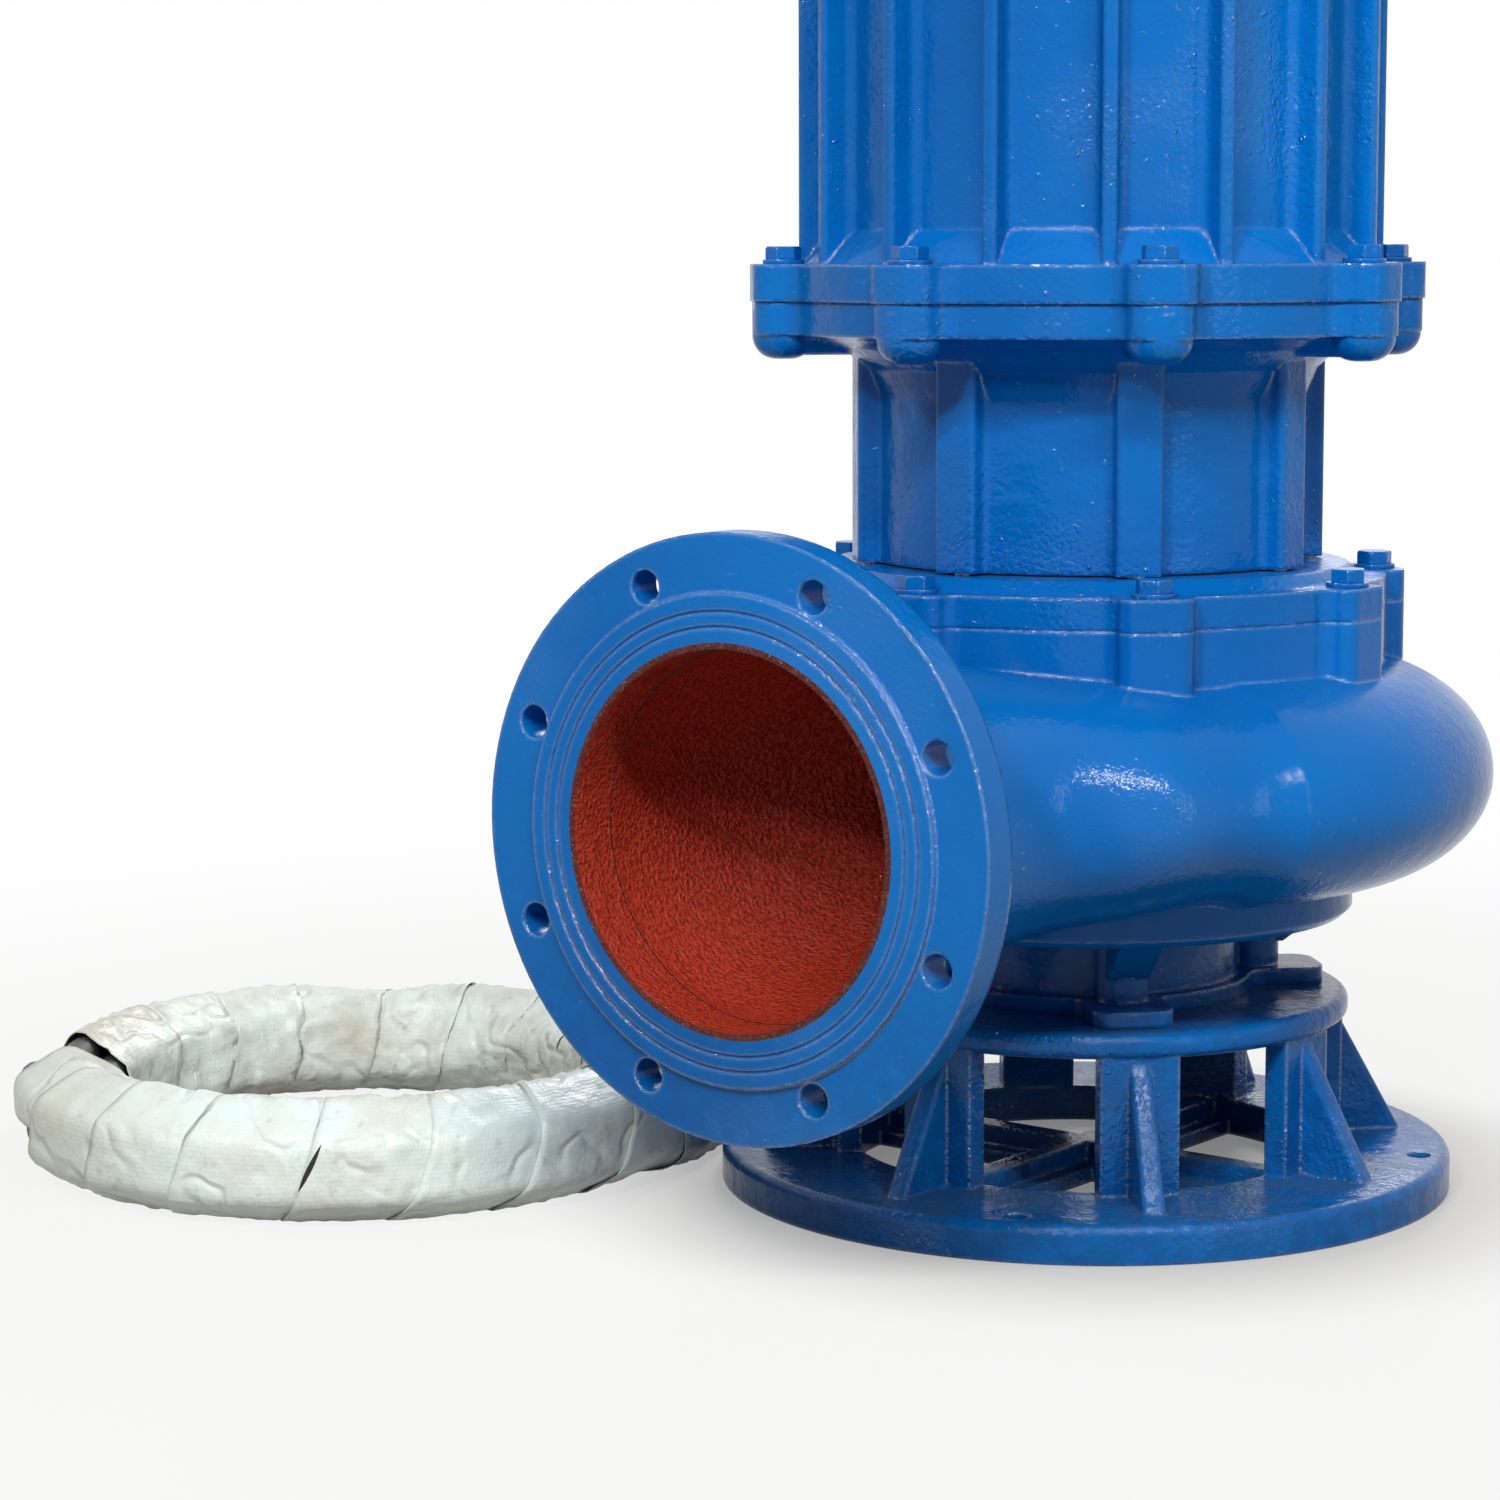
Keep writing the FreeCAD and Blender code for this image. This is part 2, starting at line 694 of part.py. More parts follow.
def winding_heads():
    bulge = 8.0
    heads = []
    for base, way in ((core_bottom, -1), (core_bottom + core_h, 1)):
        end = base + way * winding_h
        heads.append(turned([(winding_in_r, base), (winding_out_r, base),
                             (winding_out_r, end - way * bulge),
                             (winding_out_r - bulge, end), (winding_in_r + bulge, end),
                             (winding_in_r, end - way * bulge)]))
    return group(heads)


# Upper bearing bracket and top cover

bracket_top = frame_top + bracket_t
upper_floor = frame_top - 15.0
upper_bearing_top = upper_floor + upper_bearing_w


def upper_bracket():
    web_bottom = upper_bearing_top + spring_t
    body = turned([(30, bracket_top), (joint_r, bracket_top), (joint_r, frame_top),
                   (frame_relief_r - seat_fit, frame_top),
                   (frame_relief_r - seat_fit, frame_top - spigot_h),
                   (frame_relief_r - 12, frame_top - spigot_h),
                   (frame_relief_r - 12, web_bottom), (upper_bearing_r + 14, web_bottom),
                   (upper_bearing_r + 14, upper_floor - 6),
                   (upper_bearing_r + seat_fit, upper_floor - 6),
                   (upper_bearing_r + seat_fit, web_bottom), (30, web_bottom)])
    body = body.fuse(frame_lugs(frame_top, bracket_top))
    cuts = bolt_holes(joint_bolt_circle_r, frame_top - 1, bracket_top + 1, lug_count,
                      clock_deg, m12_r + bolt_gap)
    cuts += bolt_holes(97, web_bottom - 1, bracket_top + 1, 3, 20, 12)
    return body.cut(cuts).removeSplitter()


def dome(offset, bottom):
    """Solid under the top cover's dome, shrunk by the offset."""
    wall_top = bracket_top + cover_wall_h
    r = cover_wall_r - offset
    shoulder = v(r * 0.8, 0, wall_top + cover_dome_h * 0.62 - offset)
    crown = v(0, 0, wall_top + cover_dome_h - offset)
    drop = crown.z - shoulder.z
    crown_r = (shoulder.x ** 2 + drop ** 2) / (2 * drop)
    half = shoulder.x / 2
    rise = v(half, 0, crown.z - crown_r + math.sqrt(crown_r ** 2 - half ** 2))
    edges = [Part.LineSegment(v(0, 0, bottom), v(r, 0, bottom)).toShape(),
             Part.LineSegment(v(r, 0, bottom), v(r, 0, wall_top)).toShape(),
             Part.Arc(v(r, 0, wall_top), v(r * 0.945, 0, wall_top + cover_dome_h * 0.38
                                           - offset * 0.6), shoulder).toShape(),
             Part.Arc(shoulder, rise, crown).toShape(),
             Part.LineSegment(crown, v(0, 0, bottom)).toShape()]
    return Part.Face(Part.Wire(edges)).revolve(origin, up, 360)


gland_out = at(1, gland_deg, 0)


def along_gland(radius, r0, r1):
    return Part.makeCylinder(radius, r1 - r0, at(r0, gland_deg, gland_z), gland_out)


def top_cover():
    flange = rod(joint_r, bracket_top, bracket_top + cover_flange_h)
    crown_z = bracket_top + cover_wall_h + cover_dome_h
    eye_pad = rod(19, bracket_top + cover_wall_h, crown_z - 6, eye_circle_r)
    pads = [turn(eye_pad, gland_deg + 90), turn(eye_pad, gland_deg - 90)]
    body = dome(0, bracket_top).fuse(
        [flange, along_gland(gland_boss_r, cover_wall_r - 30, gland_face_r)] + pads
        + frame_lugs(bracket_top, bracket_top + cover_flange_h))
    cuts = [dome(cover_wall_t, bracket_top - 1),
            along_gland(gland_bore_r, cover_wall_r - 40, gland_face_r + 1)]
    cuts += bolt_holes(joint_bolt_circle_r, bracket_top - 1,
                       bracket_top + cover_flange_h + 1, lug_count, clock_deg, m12_r + bolt_gap)
    head_room = bolt_holes(joint_bolt_circle_r, bracket_top + cover_flange_h,
                           bracket_top + cover_flange_h + washer_t + m12_head_h + 3,
                           lug_count, clock_deg, washer_r + 2)
    for side in (-1, 1):
        spot = at(gland_face_r - 18, gland_deg, gland_z) + turned_side(side, 30)
        cuts.append(Part.makeCylinder(m10_r * 0.8 + seat_fit, 19, spot, gland_out))
        cuts.append(turn(rod(8 + seat_fit, crown_z - 26, crown_z, eye_circle_r),
                         gland_deg + side * 90))
        cuts.append(turn(rod(21, crown_z - 6, crown_z + 1, eye_circle_r),
                         gland_deg + side * 90))
    boss = along_gland(gland_boss_r, cover_wall_r - 30, gland_face_r)
    ears = [Part.makeCylinder(10, 22, at(gland_face_r - 22, gland_deg, gland_z)
                              + turned_side(side, 30), gland_out) for side in (-1, 1)]
    body = body.fuse(ears + [boss.cut(dome(cover_wall_t, bracket_top - 1))])
    return body.cut(cuts + head_room).removeSplitter()


def turned_side(side, distance):
    """Level offset to one side of the gland's axis."""
    return at(side * distance, gland_deg + 90, 0)


def lifting_eyes():
    crown_z = bracket_top + cover_wall_h + cover_dome_h
    seat = crown_z - 6
    shank = rod(8, seat - 20, seat + 2, eye_circle_r)
    collar = rod(16, seat, seat + 6, eye_circle_r)
    eye = Part.makeTorus(eye_r, eye_wire_r, v(eye_circle_r, 0, seat + eye_r + eye_wire_r + 2),
                         v(1, 0, 0))
    bolt = shank.fuse([collar, eye])
    return group([turn(bolt, gland_deg + 90), turn(bolt, gland_deg - 90)])


def cable_gland():
    body = along_gland(gland_bore_r - seat_fit, gland_face_r - 24, gland_face_r)
    head = along_gland(gland_body_r, gland_face_r, gland_face_r + gland_body_length - clamp_t)
    bore = along_gland(cable_r + 3, gland_face_r - 25, gland_face_r + gland_body_length)
    return body.fuse(head).cut(bore)


def gland_sleeve():
    """Rubber sleeve that grips the cable and tapers outside the clamp."""
    start = gland_face_r - 20
    neck = along_gland(cable_r + 3 - seat_fit, start, gland_face_r + gland_body_length)
    cone = Part.makeCone(cable_r + 7, sleeve_mouth_r - 1.5, sleeve_length,
                         at(gland_face_r + gland_body_length, gland_deg, gland_z), gland_out)
    return neck.fuse(cone)


def gland_clamp():
    r0 = gland_face_r + gland_body_length - clamp_t
    bar = Part.makeBox(clamp_t, 2 * clamp_half_w, 2 * gland_body_r * 0.7,
                       v(r0, -clamp_half_w, gland_z - gland_body_r * 0.7))
    ends = [e for e in bar.Edges if e.BoundBox.XLength > clamp_t - 1
            and e.BoundBox.YLength < 1e-6 and e.BoundBox.ZLength < 1e-6]
    bar = turn(bar.makeFillet(14, ends), gland_deg)
    cuts = [along_gland(cable_r + 3 + seat_fit, r0 - 1, r0 + clamp_t + 1)]
    for side in (-1, 1):
        spot = at(r0 - 1, gland_deg, gland_z) + turned_side(side, 30)
        cuts.append(Part.makeCylinder(m10_r * 0.8 + bolt_gap, clamp_t + 2, spot, gland_out))
    return bar.cut(cuts)


def gland_bolts():
    """Two bolts that pull the clamp towards the top cover."""
    r1 = gland_face_r + gland_body_length
    bolts_made = []
    for side in (-1, 1):
        spot = at(gland_face_r - 16, gland_deg, gland_z) + turned_side(side, 30)
        shank = Part.makeCylinder(m10_r * 0.8, r1 - gland_face_r + 18, spot, gland_out)
        head = hexagon(13, 0, 5.5)
        head.rotate(origin, v(0, 1, 0), 90)
        head.rotate(origin, up, gland_deg)
        head.translate(at(r1, gland_deg, gland_z) + turned_side(side, 30))
        bolts_made.append(shank.fuse(head))
    return group(bolts_made)


def terminal_block():
    base = bracket_top
    body = Part.makeBox(70, 34, 22, v(-35, -17, base))
    studs = [rod(3, base + 20, base + 34, x, y) for x in (-22, 0, 22) for y in (-9, 9)]
    return body.fuse(studs)


# Rotor

hub_top = cover_bottom - cover_bottom_gap
lower_floor = partition_bottom + partition_t
lower_bearing_top = lower_floor + lower_bearing_w


def shaft():
    core_top = core_bottom + core_h
    tip = upper_bearing_top
    profile = [(0, shaft_bottom), (impeller_shaft_r, shaft_bottom), (impeller_shaft_r, hub_top),
               (seal_shaft_r, hub_top), (seal_shaft_r, cover_bottom + 62), (collar_r - 4,
               cover_bottom + 62), (collar_r - 4, upper_seat_bottom - 34),
               (seal_shaft_r + 1, upper_seat_bottom - 34), (seal_shaft_r + 1, lower_floor),
               (lower_journal_r, lower_floor), (lower_journal_r, lower_bearing_top),
               (core_shaft_r - 3, lower_bearing_top), (core_shaft_r - 3, core_bottom - 20),
               (core_shaft_r, core_bottom - 20), (core_shaft_r, core_top + 20),
               (upper_journal_r + 5, core_top + 20), (upper_journal_r + 5, upper_floor),
               (upper_journal_r, upper_floor), (upper_journal_r, tip), (0, tip)]
    body = turned(profile)
    tap = rod(m12_r + seat_fit, shaft_bottom - 1, shaft_bottom + 32)
    slot = key_box(seat_fit)
    return body.cut([tap, slot])


def key_box(gap=0.0):
    z0 = shaft_bottom + 9 - gap
    return Part.makeBox(key_h + 2 * gap, key_w + 2 * gap, key_length + 2 * gap,
                        v(impeller_shaft_r - key_h / 2 - gap, -key_w / 2 - gap, z0))


def rotor_core():
    return tube(core_bore_r - rotor_gap, core_shaft_r + seat_fit, core_bottom,
                core_bottom + core_h)


def rotor_end_rings():
    core_top = core_bottom + core_h
    rings = []
    for z0, z1 in ((core_bottom - end_ring_h, core_bottom), (core_top, core_top + end_ring_h)):
        ring = tube(end_ring_out_r, end_ring_in_r, z0, z1)
        rings.append(ring)
    return group(rings)


def impeller():
    back_bottom = hub_top - back_shroud_t - 4
    back_top = hub_top - 4
    front = turned([(eye_in_r, eye_bottom), (eye_out_r, eye_bottom), (eye_out_r, eye_top),
                    (impeller_r, front_rim_z - shroud_t), (impeller_r, front_rim_z),
                    (eye_out_r - 1, eye_top + shroud_t + 3), (eye_in_r, eye_top + 1)])
    hub_bottom = shaft_bottom + 3
    back = turned([(impeller_shaft_r + seat_fit, hub_bottom), (hub_r - 8, hub_bottom),
                   (hub_r, back_bottom - 30), (hub_r + 22, back_bottom - 5),
                   (hub_r + 40, back_bottom),
                   (impeller_r, back_bottom + 3), (impeller_r, back_top), (hub_r, back_top),
                   (hub_r, hub_top - seat_fit), (impeller_shaft_r + seat_fit,
                                                 hub_top - seat_fit)])
    envelope = turned([(hub_r - 6, back_bottom - 24), (hub_r + 10, back_bottom - 12),
                       (hub_r + 45, back_bottom + 2), (impeller_r - 2, back_bottom + 5),
                       (impeller_r - 2, front_rim_z - 3), (eye_out_r, eye_top + shroud_t),
                       (eye_in_r + 2, eye_top + 4), (vane_start_r + 12, eye_top + 26)])
    vanes = [blade.common(envelope) for blade in around(vane_blank(), vane_count, 0)]
    wheel = front.fuse([back] + vanes)
    return wheel.cut(key_box(seat_fit)).removeSplitter()


def vane_blank():
    """One spiral vane, as wide as the channel is long, before it is cut to the channel."""
    outer = []
    inner = []
    steps = 8
    growth = math.log((impeller_r - 1) / vane_start_r)
    for i in range(steps + 1):
        share = i / steps
        radius = vane_start_r * math.exp(growth * share)
        angle = vane_wrap_deg * share
        outer.append(at(radius, angle, eye_top))
        inner.append(at(radius - vane_t * (0.7 + 0.3 * share), angle, eye_top))
    curves = []
    for points in (outer, inner):
        curve = Part.BSplineCurve()
        curve.interpolate(points)
        curves.append(curve.toShape())
    ends = [Part.LineSegment(outer[0], inner[0]).toShape(),
            Part.LineSegment(outer[-1], inner[-1]).toShape()]
    outline = Part.Wire(Part.__sortEdges__([curves[0], ends[1], curves[1], ends[0]]))
    return Part.Face(outline).extrude(v(0, 0, hub_top - eye_top))


def impeller_cap():
    bottom = shaft_bottom + 3 - cap_t
    return tube(cap_r - 4, m12_r + seat_fit, bottom, shaft_bottom - seat_fit).fuse(
        tube(cap_r - 4, impeller_shaft_r + 2, shaft_bottom - 1, shaft_bottom + 3))


def impeller_bolt():
    seat = shaft_bottom + 3 - cap_t
    return rod(m12_r, seat - 1, shaft_bottom + 28).fuse(
        hexagon(m12_across_flats, seat - m12_head_h, seat))


# Seals

def seal_seat(z0):
    return tube(seal_seat_r, seal_shaft_r + 3.5, z0, z0 + seal_seat_h)


def seal_ring(z0):
    return tube(seal_ring_r, seal_shaft_r + 1 + seat_fit, z0, z0 + seal_ring_h)


def bellows(z0, z1):
    """Rubber bellows with three folds, between the turning ring and the shaft's collar."""
    inner = seal_shaft_r + 1 + seat_fit
    folds = 3
    pitch = (z1 - z0) / folds
    points = [(inner, z0)]
    for i in range(folds):
        points.append((inner + 4, z0 + pitch * i))
        points.append((inner + 9, z0 + pitch * (i + 0.5)))
    points.append((inner + 4, z1))
    points.append((inner, z1))
    return turned(points)


# Bearings

def outer_race(outer_r, wall, ball_r, width, z0):
    middle = z0 + width / 2
    ring = tube(outer_r, outer_r - wall, z0, z0 + width)
    return ring.cut(Part.makeTorus(pitch_r(outer_r, wall, ball_r), ball_r + ball_gap,
                                   v(0, 0, middle), up))


def pitch_r(outer_r, wall, ball_r):
    return outer_r - wall - ball_r * 0.55


def inner_race(journal_r, outer_r, wall, ball_r, width, z0):
    middle = z0 + width / 2
    centre = pitch_r(outer_r, wall, ball_r)
    ring = tube(centre - ball_r * 0.6, journal_r + seat_fit, z0, z0 + width)
    return ring.cut(Part.makeTorus(centre, ball_r + ball_gap, v(0, 0, middle), up))


def ball_set(outer_r, wall, ball_r, width, z0, count):
    """Balls held in a cage ring that is thinner than the balls."""
    middle = z0 + width / 2
    centre = pitch_r(outer_r, wall, ball_r)
    ball = Part.makeSphere(ball_r, v(centre, 0, middle))
    cage = tube(centre + cage_t / 2, centre - cage_t / 2, middle - ball_r * 0.7,
                middle + ball_r * 0.7)
    return join(cage, around(ball, count, 0))


def bearing_retainer():
    floor = lower_bearing_top + 9
    return turned([(lower_bearing_r - 12, lower_bearing_top),
                   (lower_bearing_r - seat_fit, lower_bearing_top),
                   (lower_bearing_r - seat_fit, floor), (lower_bearing_r + 24, floor),
                   (lower_bearing_r + 24, floor + 8), (core_shaft_r + 2, floor + 8),
                   (core_shaft_r + 2, floor - 2), (lower_bearing_r - 12, floor - 2)])


# Cable

def coil_entry():
    """Point where the cable runs into the coil, on the coil's outer turn."""
    return v(coil_x + coil_ring_r + 2 * cable_r - 3, coil_y + 30, coil_half_h - 12)


def cable_route():
    start = at(gland_face_r + gland_body_length + sleeve_length, gland_deg, gland_z)
    points = [start]
    for radius, z in hang_points:
        points.append(at(radius, gland_deg, z))
    for x, y, z in floor_points:
        points.append(v(x, y, z))
    points.append(coil_entry())
    return points


def cable_path(points):
    """Straight runs joined by tangent arcs."""
    edges = []
    last = points[0]
    for before, corner, after in zip(points, points[1:], points[2:]):
        way_in = (corner - before).normalize()
        way_out = (after - corner).normalize()
        half_turn = way_in.getAngle(way_out) / 2
        setback = 0.45 * min(before.distanceToPoint(corner), corner.distanceToPoint(after))
        radius = setback / math.tan(half_turn)
        print("cable arc radius", round(radius), "turn", round(math.degrees(2 * half_turn)))
        start = corner - way_in * setback
        end = corner + way_out * setback
        inward = (way_out - way_in).normalize()
        middle = corner + inward * (radius / math.cos(half_turn) - radius)
        edges.append(Part.LineSegment(last, start).toShape())
        edges.append(Part.Arc(start, middle, end).toShape())
        last = end
    edges.append(Part.LineSegment(last, points[-1]).toShape())
    return Part.Wire(edges)


def cable_run():
    points = cable_route()
    path = cable_path(points)
    ring = Part.Wire([Part.Circle(points[0], points[1] - points[0], cable_r).toShape()])
    run = path.makePipeShell([ring], True, False)
    share = run.Volume / (math.pi * cable_r ** 2 * path.Length)
    print("cable run", round(path.Length), "mm, volume share", round(share, 3))
    return run


def cable_coil():
    oval = Part.Ellipse(v(0, 0, 0), coil_half_w, coil_half_h)
    wire = Part.Wire([oval.toShape()])
    wire.rotate(origin, v(1, 0, 0), 90)
    wire.translate(v(coil_x + coil_ring_r, coil_y, coil_half_h))
    return Part.Face(wire).revolve(v(coil_x, coil_y, 0), up, 360)


# Export

def build():
    cover_bolts, cover_washers = bolts(cover_bolt_circle_r, cover_seat,
                                       cover_flange_t + lug_bolt_depth - 14)
    frame_bolts, frame_washers = bolts(joint_bolt_circle_r, frame_seat,
                                       frame_flange_t + lug_bolt_depth - 14)
    top_seat = bracket_top + cover_flange_h
    top_bolts, top_washers = bolts(joint_bolt_circle_r, top_seat,
                                   top_seat - frame_top + frame_top_flange_t - 2)
    lower = (lower_bearing_r, lower_race_wall, lower_ball_r, lower_bearing_w, lower_floor)
    upper = (upper_bearing_r, upper_race_wall, upper_ball_r, upper_bearing_w, upper_floor)
    lower_seat = cover_bottom + 35 - seal_pocket
    upper_seat = upper_seat_bottom
    pieces = {
        "base_stand": base_stand(),
        "stand_bolts": stand_bolts(),
        "volute_casing": volute_casing(),
        "wear_ring": wear_ring(),
        "pump_cover": pump_cover(),
        "cover_o_ring": ring_seal(cover_groove_r, o_ring_r, seam_z - o_ring_r),
        "cover_bolts": cover_bolts,
        "cover_washers": cover_washers,
        "housing_gasket": tube(housing_r - 1.5, oil_room_r + 0.5, land_top, housing_bottom).cut(
            bolt_holes(housing_screw_circle_r, land_top - 1, housing_bottom + 1, lug_count,
                       clock_deg, m10_r + bolt_gap)),
        "housing_screws": housing_screws(),
        "oil_housing": oil_housing(),
        "oil_plug": side_plug(9, plug_deg, 24, oil_room_r),
        "leak_probe": leak_probe(),
        "frame_o_ring": ring_seal(frame_groove_r, o_ring_r, housing_top - o_ring_r),
        "frame_bolts": frame_bolts,
        "frame_washers": frame_washers,
        "motor_frame": motor_frame(),
        "stator_core": stator_core(),
        "stator_winding": winding_heads(),
        "upper_bracket": upper_bracket(),
        "top_cover": top_cover(),
        "top_bolts": top_bolts,
        "top_washers": top_washers,
        "lifting_eyes": lifting_eyes(),
        "cable_gland": cable_gland(),
        "gland_sleeve": gland_sleeve(),
        "gland_clamp": gland_clamp(),
        "gland_bolts": gland_bolts(),
        "terminal_block": terminal_block(),
        "shaft": shaft(),
        "rotor_core": rotor_core(),
        "rotor_end_rings": rotor_end_rings(),
        "impeller": impeller(),
        "impeller_key": key_box(),
        "impeller_cap": impeller_cap(),
        "impeller_bolt": impeller_bolt(),
        "lower_seal_seat": seal_seat(lower_seat),
        "lower_seal_ring": seal_ring(lower_seat + seal_seat_h),
        "lower_seal_bellows": bellows(lower_seat + seal_seat_h + seal_ring_h,
                                      cover_bottom + 62),
        "upper_seal_seat": seal_seat(upper_seat),
        "upper_seal_ring": seal_ring(upper_seat - seal_ring_h),
        "upper_seal_bellows": bellows(upper_seat - 34, upper_seat - seal_ring_h),
        "lower_bearing_outer": outer_race(*lower),
        "lower_bearing_inner": inner_race(lower_journal_r, *lower),
        "lower_bearing_balls": ball_set(*lower, lower_ball_count),
        "bearing_retainer": bearing_retainer(),
        "upper_bearing_outer": outer_race(*upper),
        "upper_bearing_inner": inner_race(upper_journal_r, *upper),
        "upper_bearing_balls": ball_set(*upper, upper_ball_count),
        "wave_spring": tube(upper_bearing_r - 1, upper_bearing_r - 6, upper_bearing_top,
                            upper_bearing_top + spring_t),
        "cable_run": cable_run(),
        "cable_coil": cable_coil(),
    }
    os.makedirs("parts", exist_ok=True)
    for name, shape in pieces.items():
        save(name, shape)
        print(name, len(shape.Solids), "valid" if shape.isValid() else "BAD",
              round(shape.Volume / 1000))


build()
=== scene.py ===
import json
import math
import bmesh
import bpy
from mathutils import Matrix, Vector, noise


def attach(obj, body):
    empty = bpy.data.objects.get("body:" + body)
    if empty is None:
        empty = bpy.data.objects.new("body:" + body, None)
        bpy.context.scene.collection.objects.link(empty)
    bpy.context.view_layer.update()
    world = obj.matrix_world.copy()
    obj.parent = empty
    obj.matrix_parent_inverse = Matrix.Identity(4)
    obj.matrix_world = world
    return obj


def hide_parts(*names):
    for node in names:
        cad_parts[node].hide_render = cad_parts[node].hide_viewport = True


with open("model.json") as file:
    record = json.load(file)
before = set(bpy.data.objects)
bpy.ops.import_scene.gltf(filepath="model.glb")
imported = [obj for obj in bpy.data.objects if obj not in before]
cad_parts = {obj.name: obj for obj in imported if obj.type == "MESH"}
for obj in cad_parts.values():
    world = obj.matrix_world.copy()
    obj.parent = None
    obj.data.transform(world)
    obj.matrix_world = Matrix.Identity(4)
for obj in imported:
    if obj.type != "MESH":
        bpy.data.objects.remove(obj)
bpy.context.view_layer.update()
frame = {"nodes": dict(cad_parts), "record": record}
print("frame loaded:", len(frame["nodes"]), "nodes")

# Camera at the photographed viewpoint
viewpoint = {
    "place": (1.17897, -1.92322, 0.54928),
    "heading": math.radians(36.54),     # turned left of +Y
    "tilt": math.radians(7.477),        # looking down
    "roll": -0.0035,
    "lens": 92.49,
    "sensor": 36.0,
}


def setCamera(spec):
    h, t, r = spec["heading"], spec["tilt"], spec["roll"]
    ahead = Vector((-math.sin(h) * math.cos(t), math.cos(h) * math.cos(t), -math.sin(t)))
    right = Vector((math.cos(h), math.sin(h), 0))
    up = right.cross(ahead)
    turnedRight = right * math.cos(r) + up * math.sin(r)
    turnedUp = up * math.cos(r) - right * math.sin(r)
    lens = bpy.data.cameras.new("camera")
    lens.lens = spec["lens"]
    lens.sensor_width = lens.sensor_height = spec["sensor"]
    lens.clip_end = 60
    camera = bpy.data.objects.new("camera", lens)
    facing = Matrix((turnedRight, turnedUp, -ahead)).transposed().to_4x4()
    camera.matrix_world = Matrix.Translation(spec["place"]) @ facing
    bpy.context.scene.collection.objects.link(camera)
    bpy.context.scene.camera = camera


setCamera(viewpoint)
print("camera set")


def addObject(name, data):
    piece = bpy.data.objects.new(name, data)
    bpy.context.scene.collection.objects.link(piece)
    return piece


# Power cable: out of the gland, down behind the motor, along the floor and round the coil
cable = {
    "radius": 0.0105,
    "glandAzimuth": math.radians(126.5),
    "mouth": (0.240, 0.998),            # radius from the pump axis and height
    "hang": ((0.321, 0.998), (0.399, 0.920), (0.393, 0.740), (0.402, 0.510),
             (0.395, 0.300), (0.388, 0.160)),
    "floor": ((-0.239, 0.275, 0.062), (-0.247, 0.180, 0.0106), (-0.256, 0.075, 0.0106),
              (-0.238, -0.030, 0.0106), (-0.210, -0.115, 0.0115)),
    "coilCentre": (-0.393, -0.206, 0.0335),
    "ringRadius": 0.174,
    "spacing": 0.0216,                  # between neighbouring strands
    "pointsPerTurn": 24,
    "startAzimuth": 9.0,
    "leaveAzimuth": 217.0,              # where the last turn leaves the bundle
    "tail": ((210, 0.2030, 0.0400), (201, 0.2160, 0.0290), (191, 0.2210, 0.0165),
             (180, 0.2225, 0.0107), (168, 0.2225, 0.0106), (156, 0.2245, 0.0106)),
}

# Places of a turn in the bundle's section, as angles; None is its middle
bundlePlaces = (-30, None, -90, -150, 150, 90, 30)


def placeInBundle(place, spacing):
    if place is None:
        return Vector((0, 0))
    a = math.radians(place)
    return Vector((math.cos(a), math.sin(a))) * spacing


def strandOffset(turn, azimuth, spacing):
    # out and up from the bundle's middle
    last = len(bundlePlaces) - 1
    azimuth = (azimuth - cable["startAzimuth"] - 0.5) % 360 + cable["startAzimuth"] + 0.5
    begin = 168 - 21 * (last - 1 - turn)   # each turn moves on a little later than the one before
    share = min(1.0, max(0.0, (begin - azimuth) / 50))
    share = share * share * (3 - 2 * share)
    here = bundlePlaces[turn]
    after = bundlePlaces[min(turn + 1, last)]
    if here is not None and after is not None:
        swing = (after - here + 180) % 360 - 180
        return placeInBundle(here + swing * share, spacing)
    return placeInBundle(here, spacing).lerp(placeInBundle(after, spacing), share)


def ringPoint(azimuth, out, height):
    centre = Vector(cable["coilCentre"])
    a = math.radians(azimuth)
    reach = cable["ringRadius"] + out
    return Vector((centre.x + reach * math.cos(a), centre.y + reach * math.sin(a),
                   centre.z + height))


def cablePoints(spec):
    a = spec["glandAzimuth"]
    points = [Vector((r * math.cos(a), r * math.sin(a), z))
              for r, z in (spec["mouth"],) + spec["hang"]]
    points += [Vector(p) for p in spec["floor"]]
    step = 360.0 / spec["pointsPerTurn"]
    travel = 0.0
    total = 360.0 * (len(bundlePlaces) - 1) + (spec["startAzimuth"] - spec["leaveAzimuth"]) % 360
    while travel <= total:
        turn, along = divmod(travel, 360.0)
        azimuth = spec["startAzimuth"] - along
        offset = strandOffset(int(turn), azimuth, spec["spacing"])
        wander = 0.0007 * math.sin(travel * 0.031 + 1.7 * turn)
        points.append(ringPoint(azimuth, offset.x + wander, offset.y - wander * 0.5))
        travel += step
    centre = spec["coilCentre"]
    for azimuth, reach, height in spec["tail"]:
        b = math.radians(azimuth)
        points.append(Vector((centre[0] + reach * math.cos(b), centre[1] + reach * math.sin(b),
                              height)))
    return points


def makeSpline(name, points, radius, sides=5):
    curve = bpy.data.curves.new(name, "CURVE")
    curve.dimensions = "3D"
    curve.bevel_depth = radius
    curve.bevel_resolution = sides
    curve.use_fill_caps = True
    curve.resolution_u = 4
    spline = curve.splines.new("NURBS")
    spline.points.add(len(points) - 1)
    for knot, p in zip(spline.points, points):
        knot.co = (p[0], p[1], p[2], 1)
    spline.order_u = 3
    spline.use_endpoint_u = True
    return addObject(name, curve)


def splineLine(curveObject):
    bare = curveObject.copy()
    bare.data = curveObject.data.copy()
    bare.data.bevel_depth = 0
    line = bpy.data.meshes.new_from_object(bare)
    points = [p.co.copy() for p in line.vertices]
    bpy.data.objects.remove(bare)
    return points


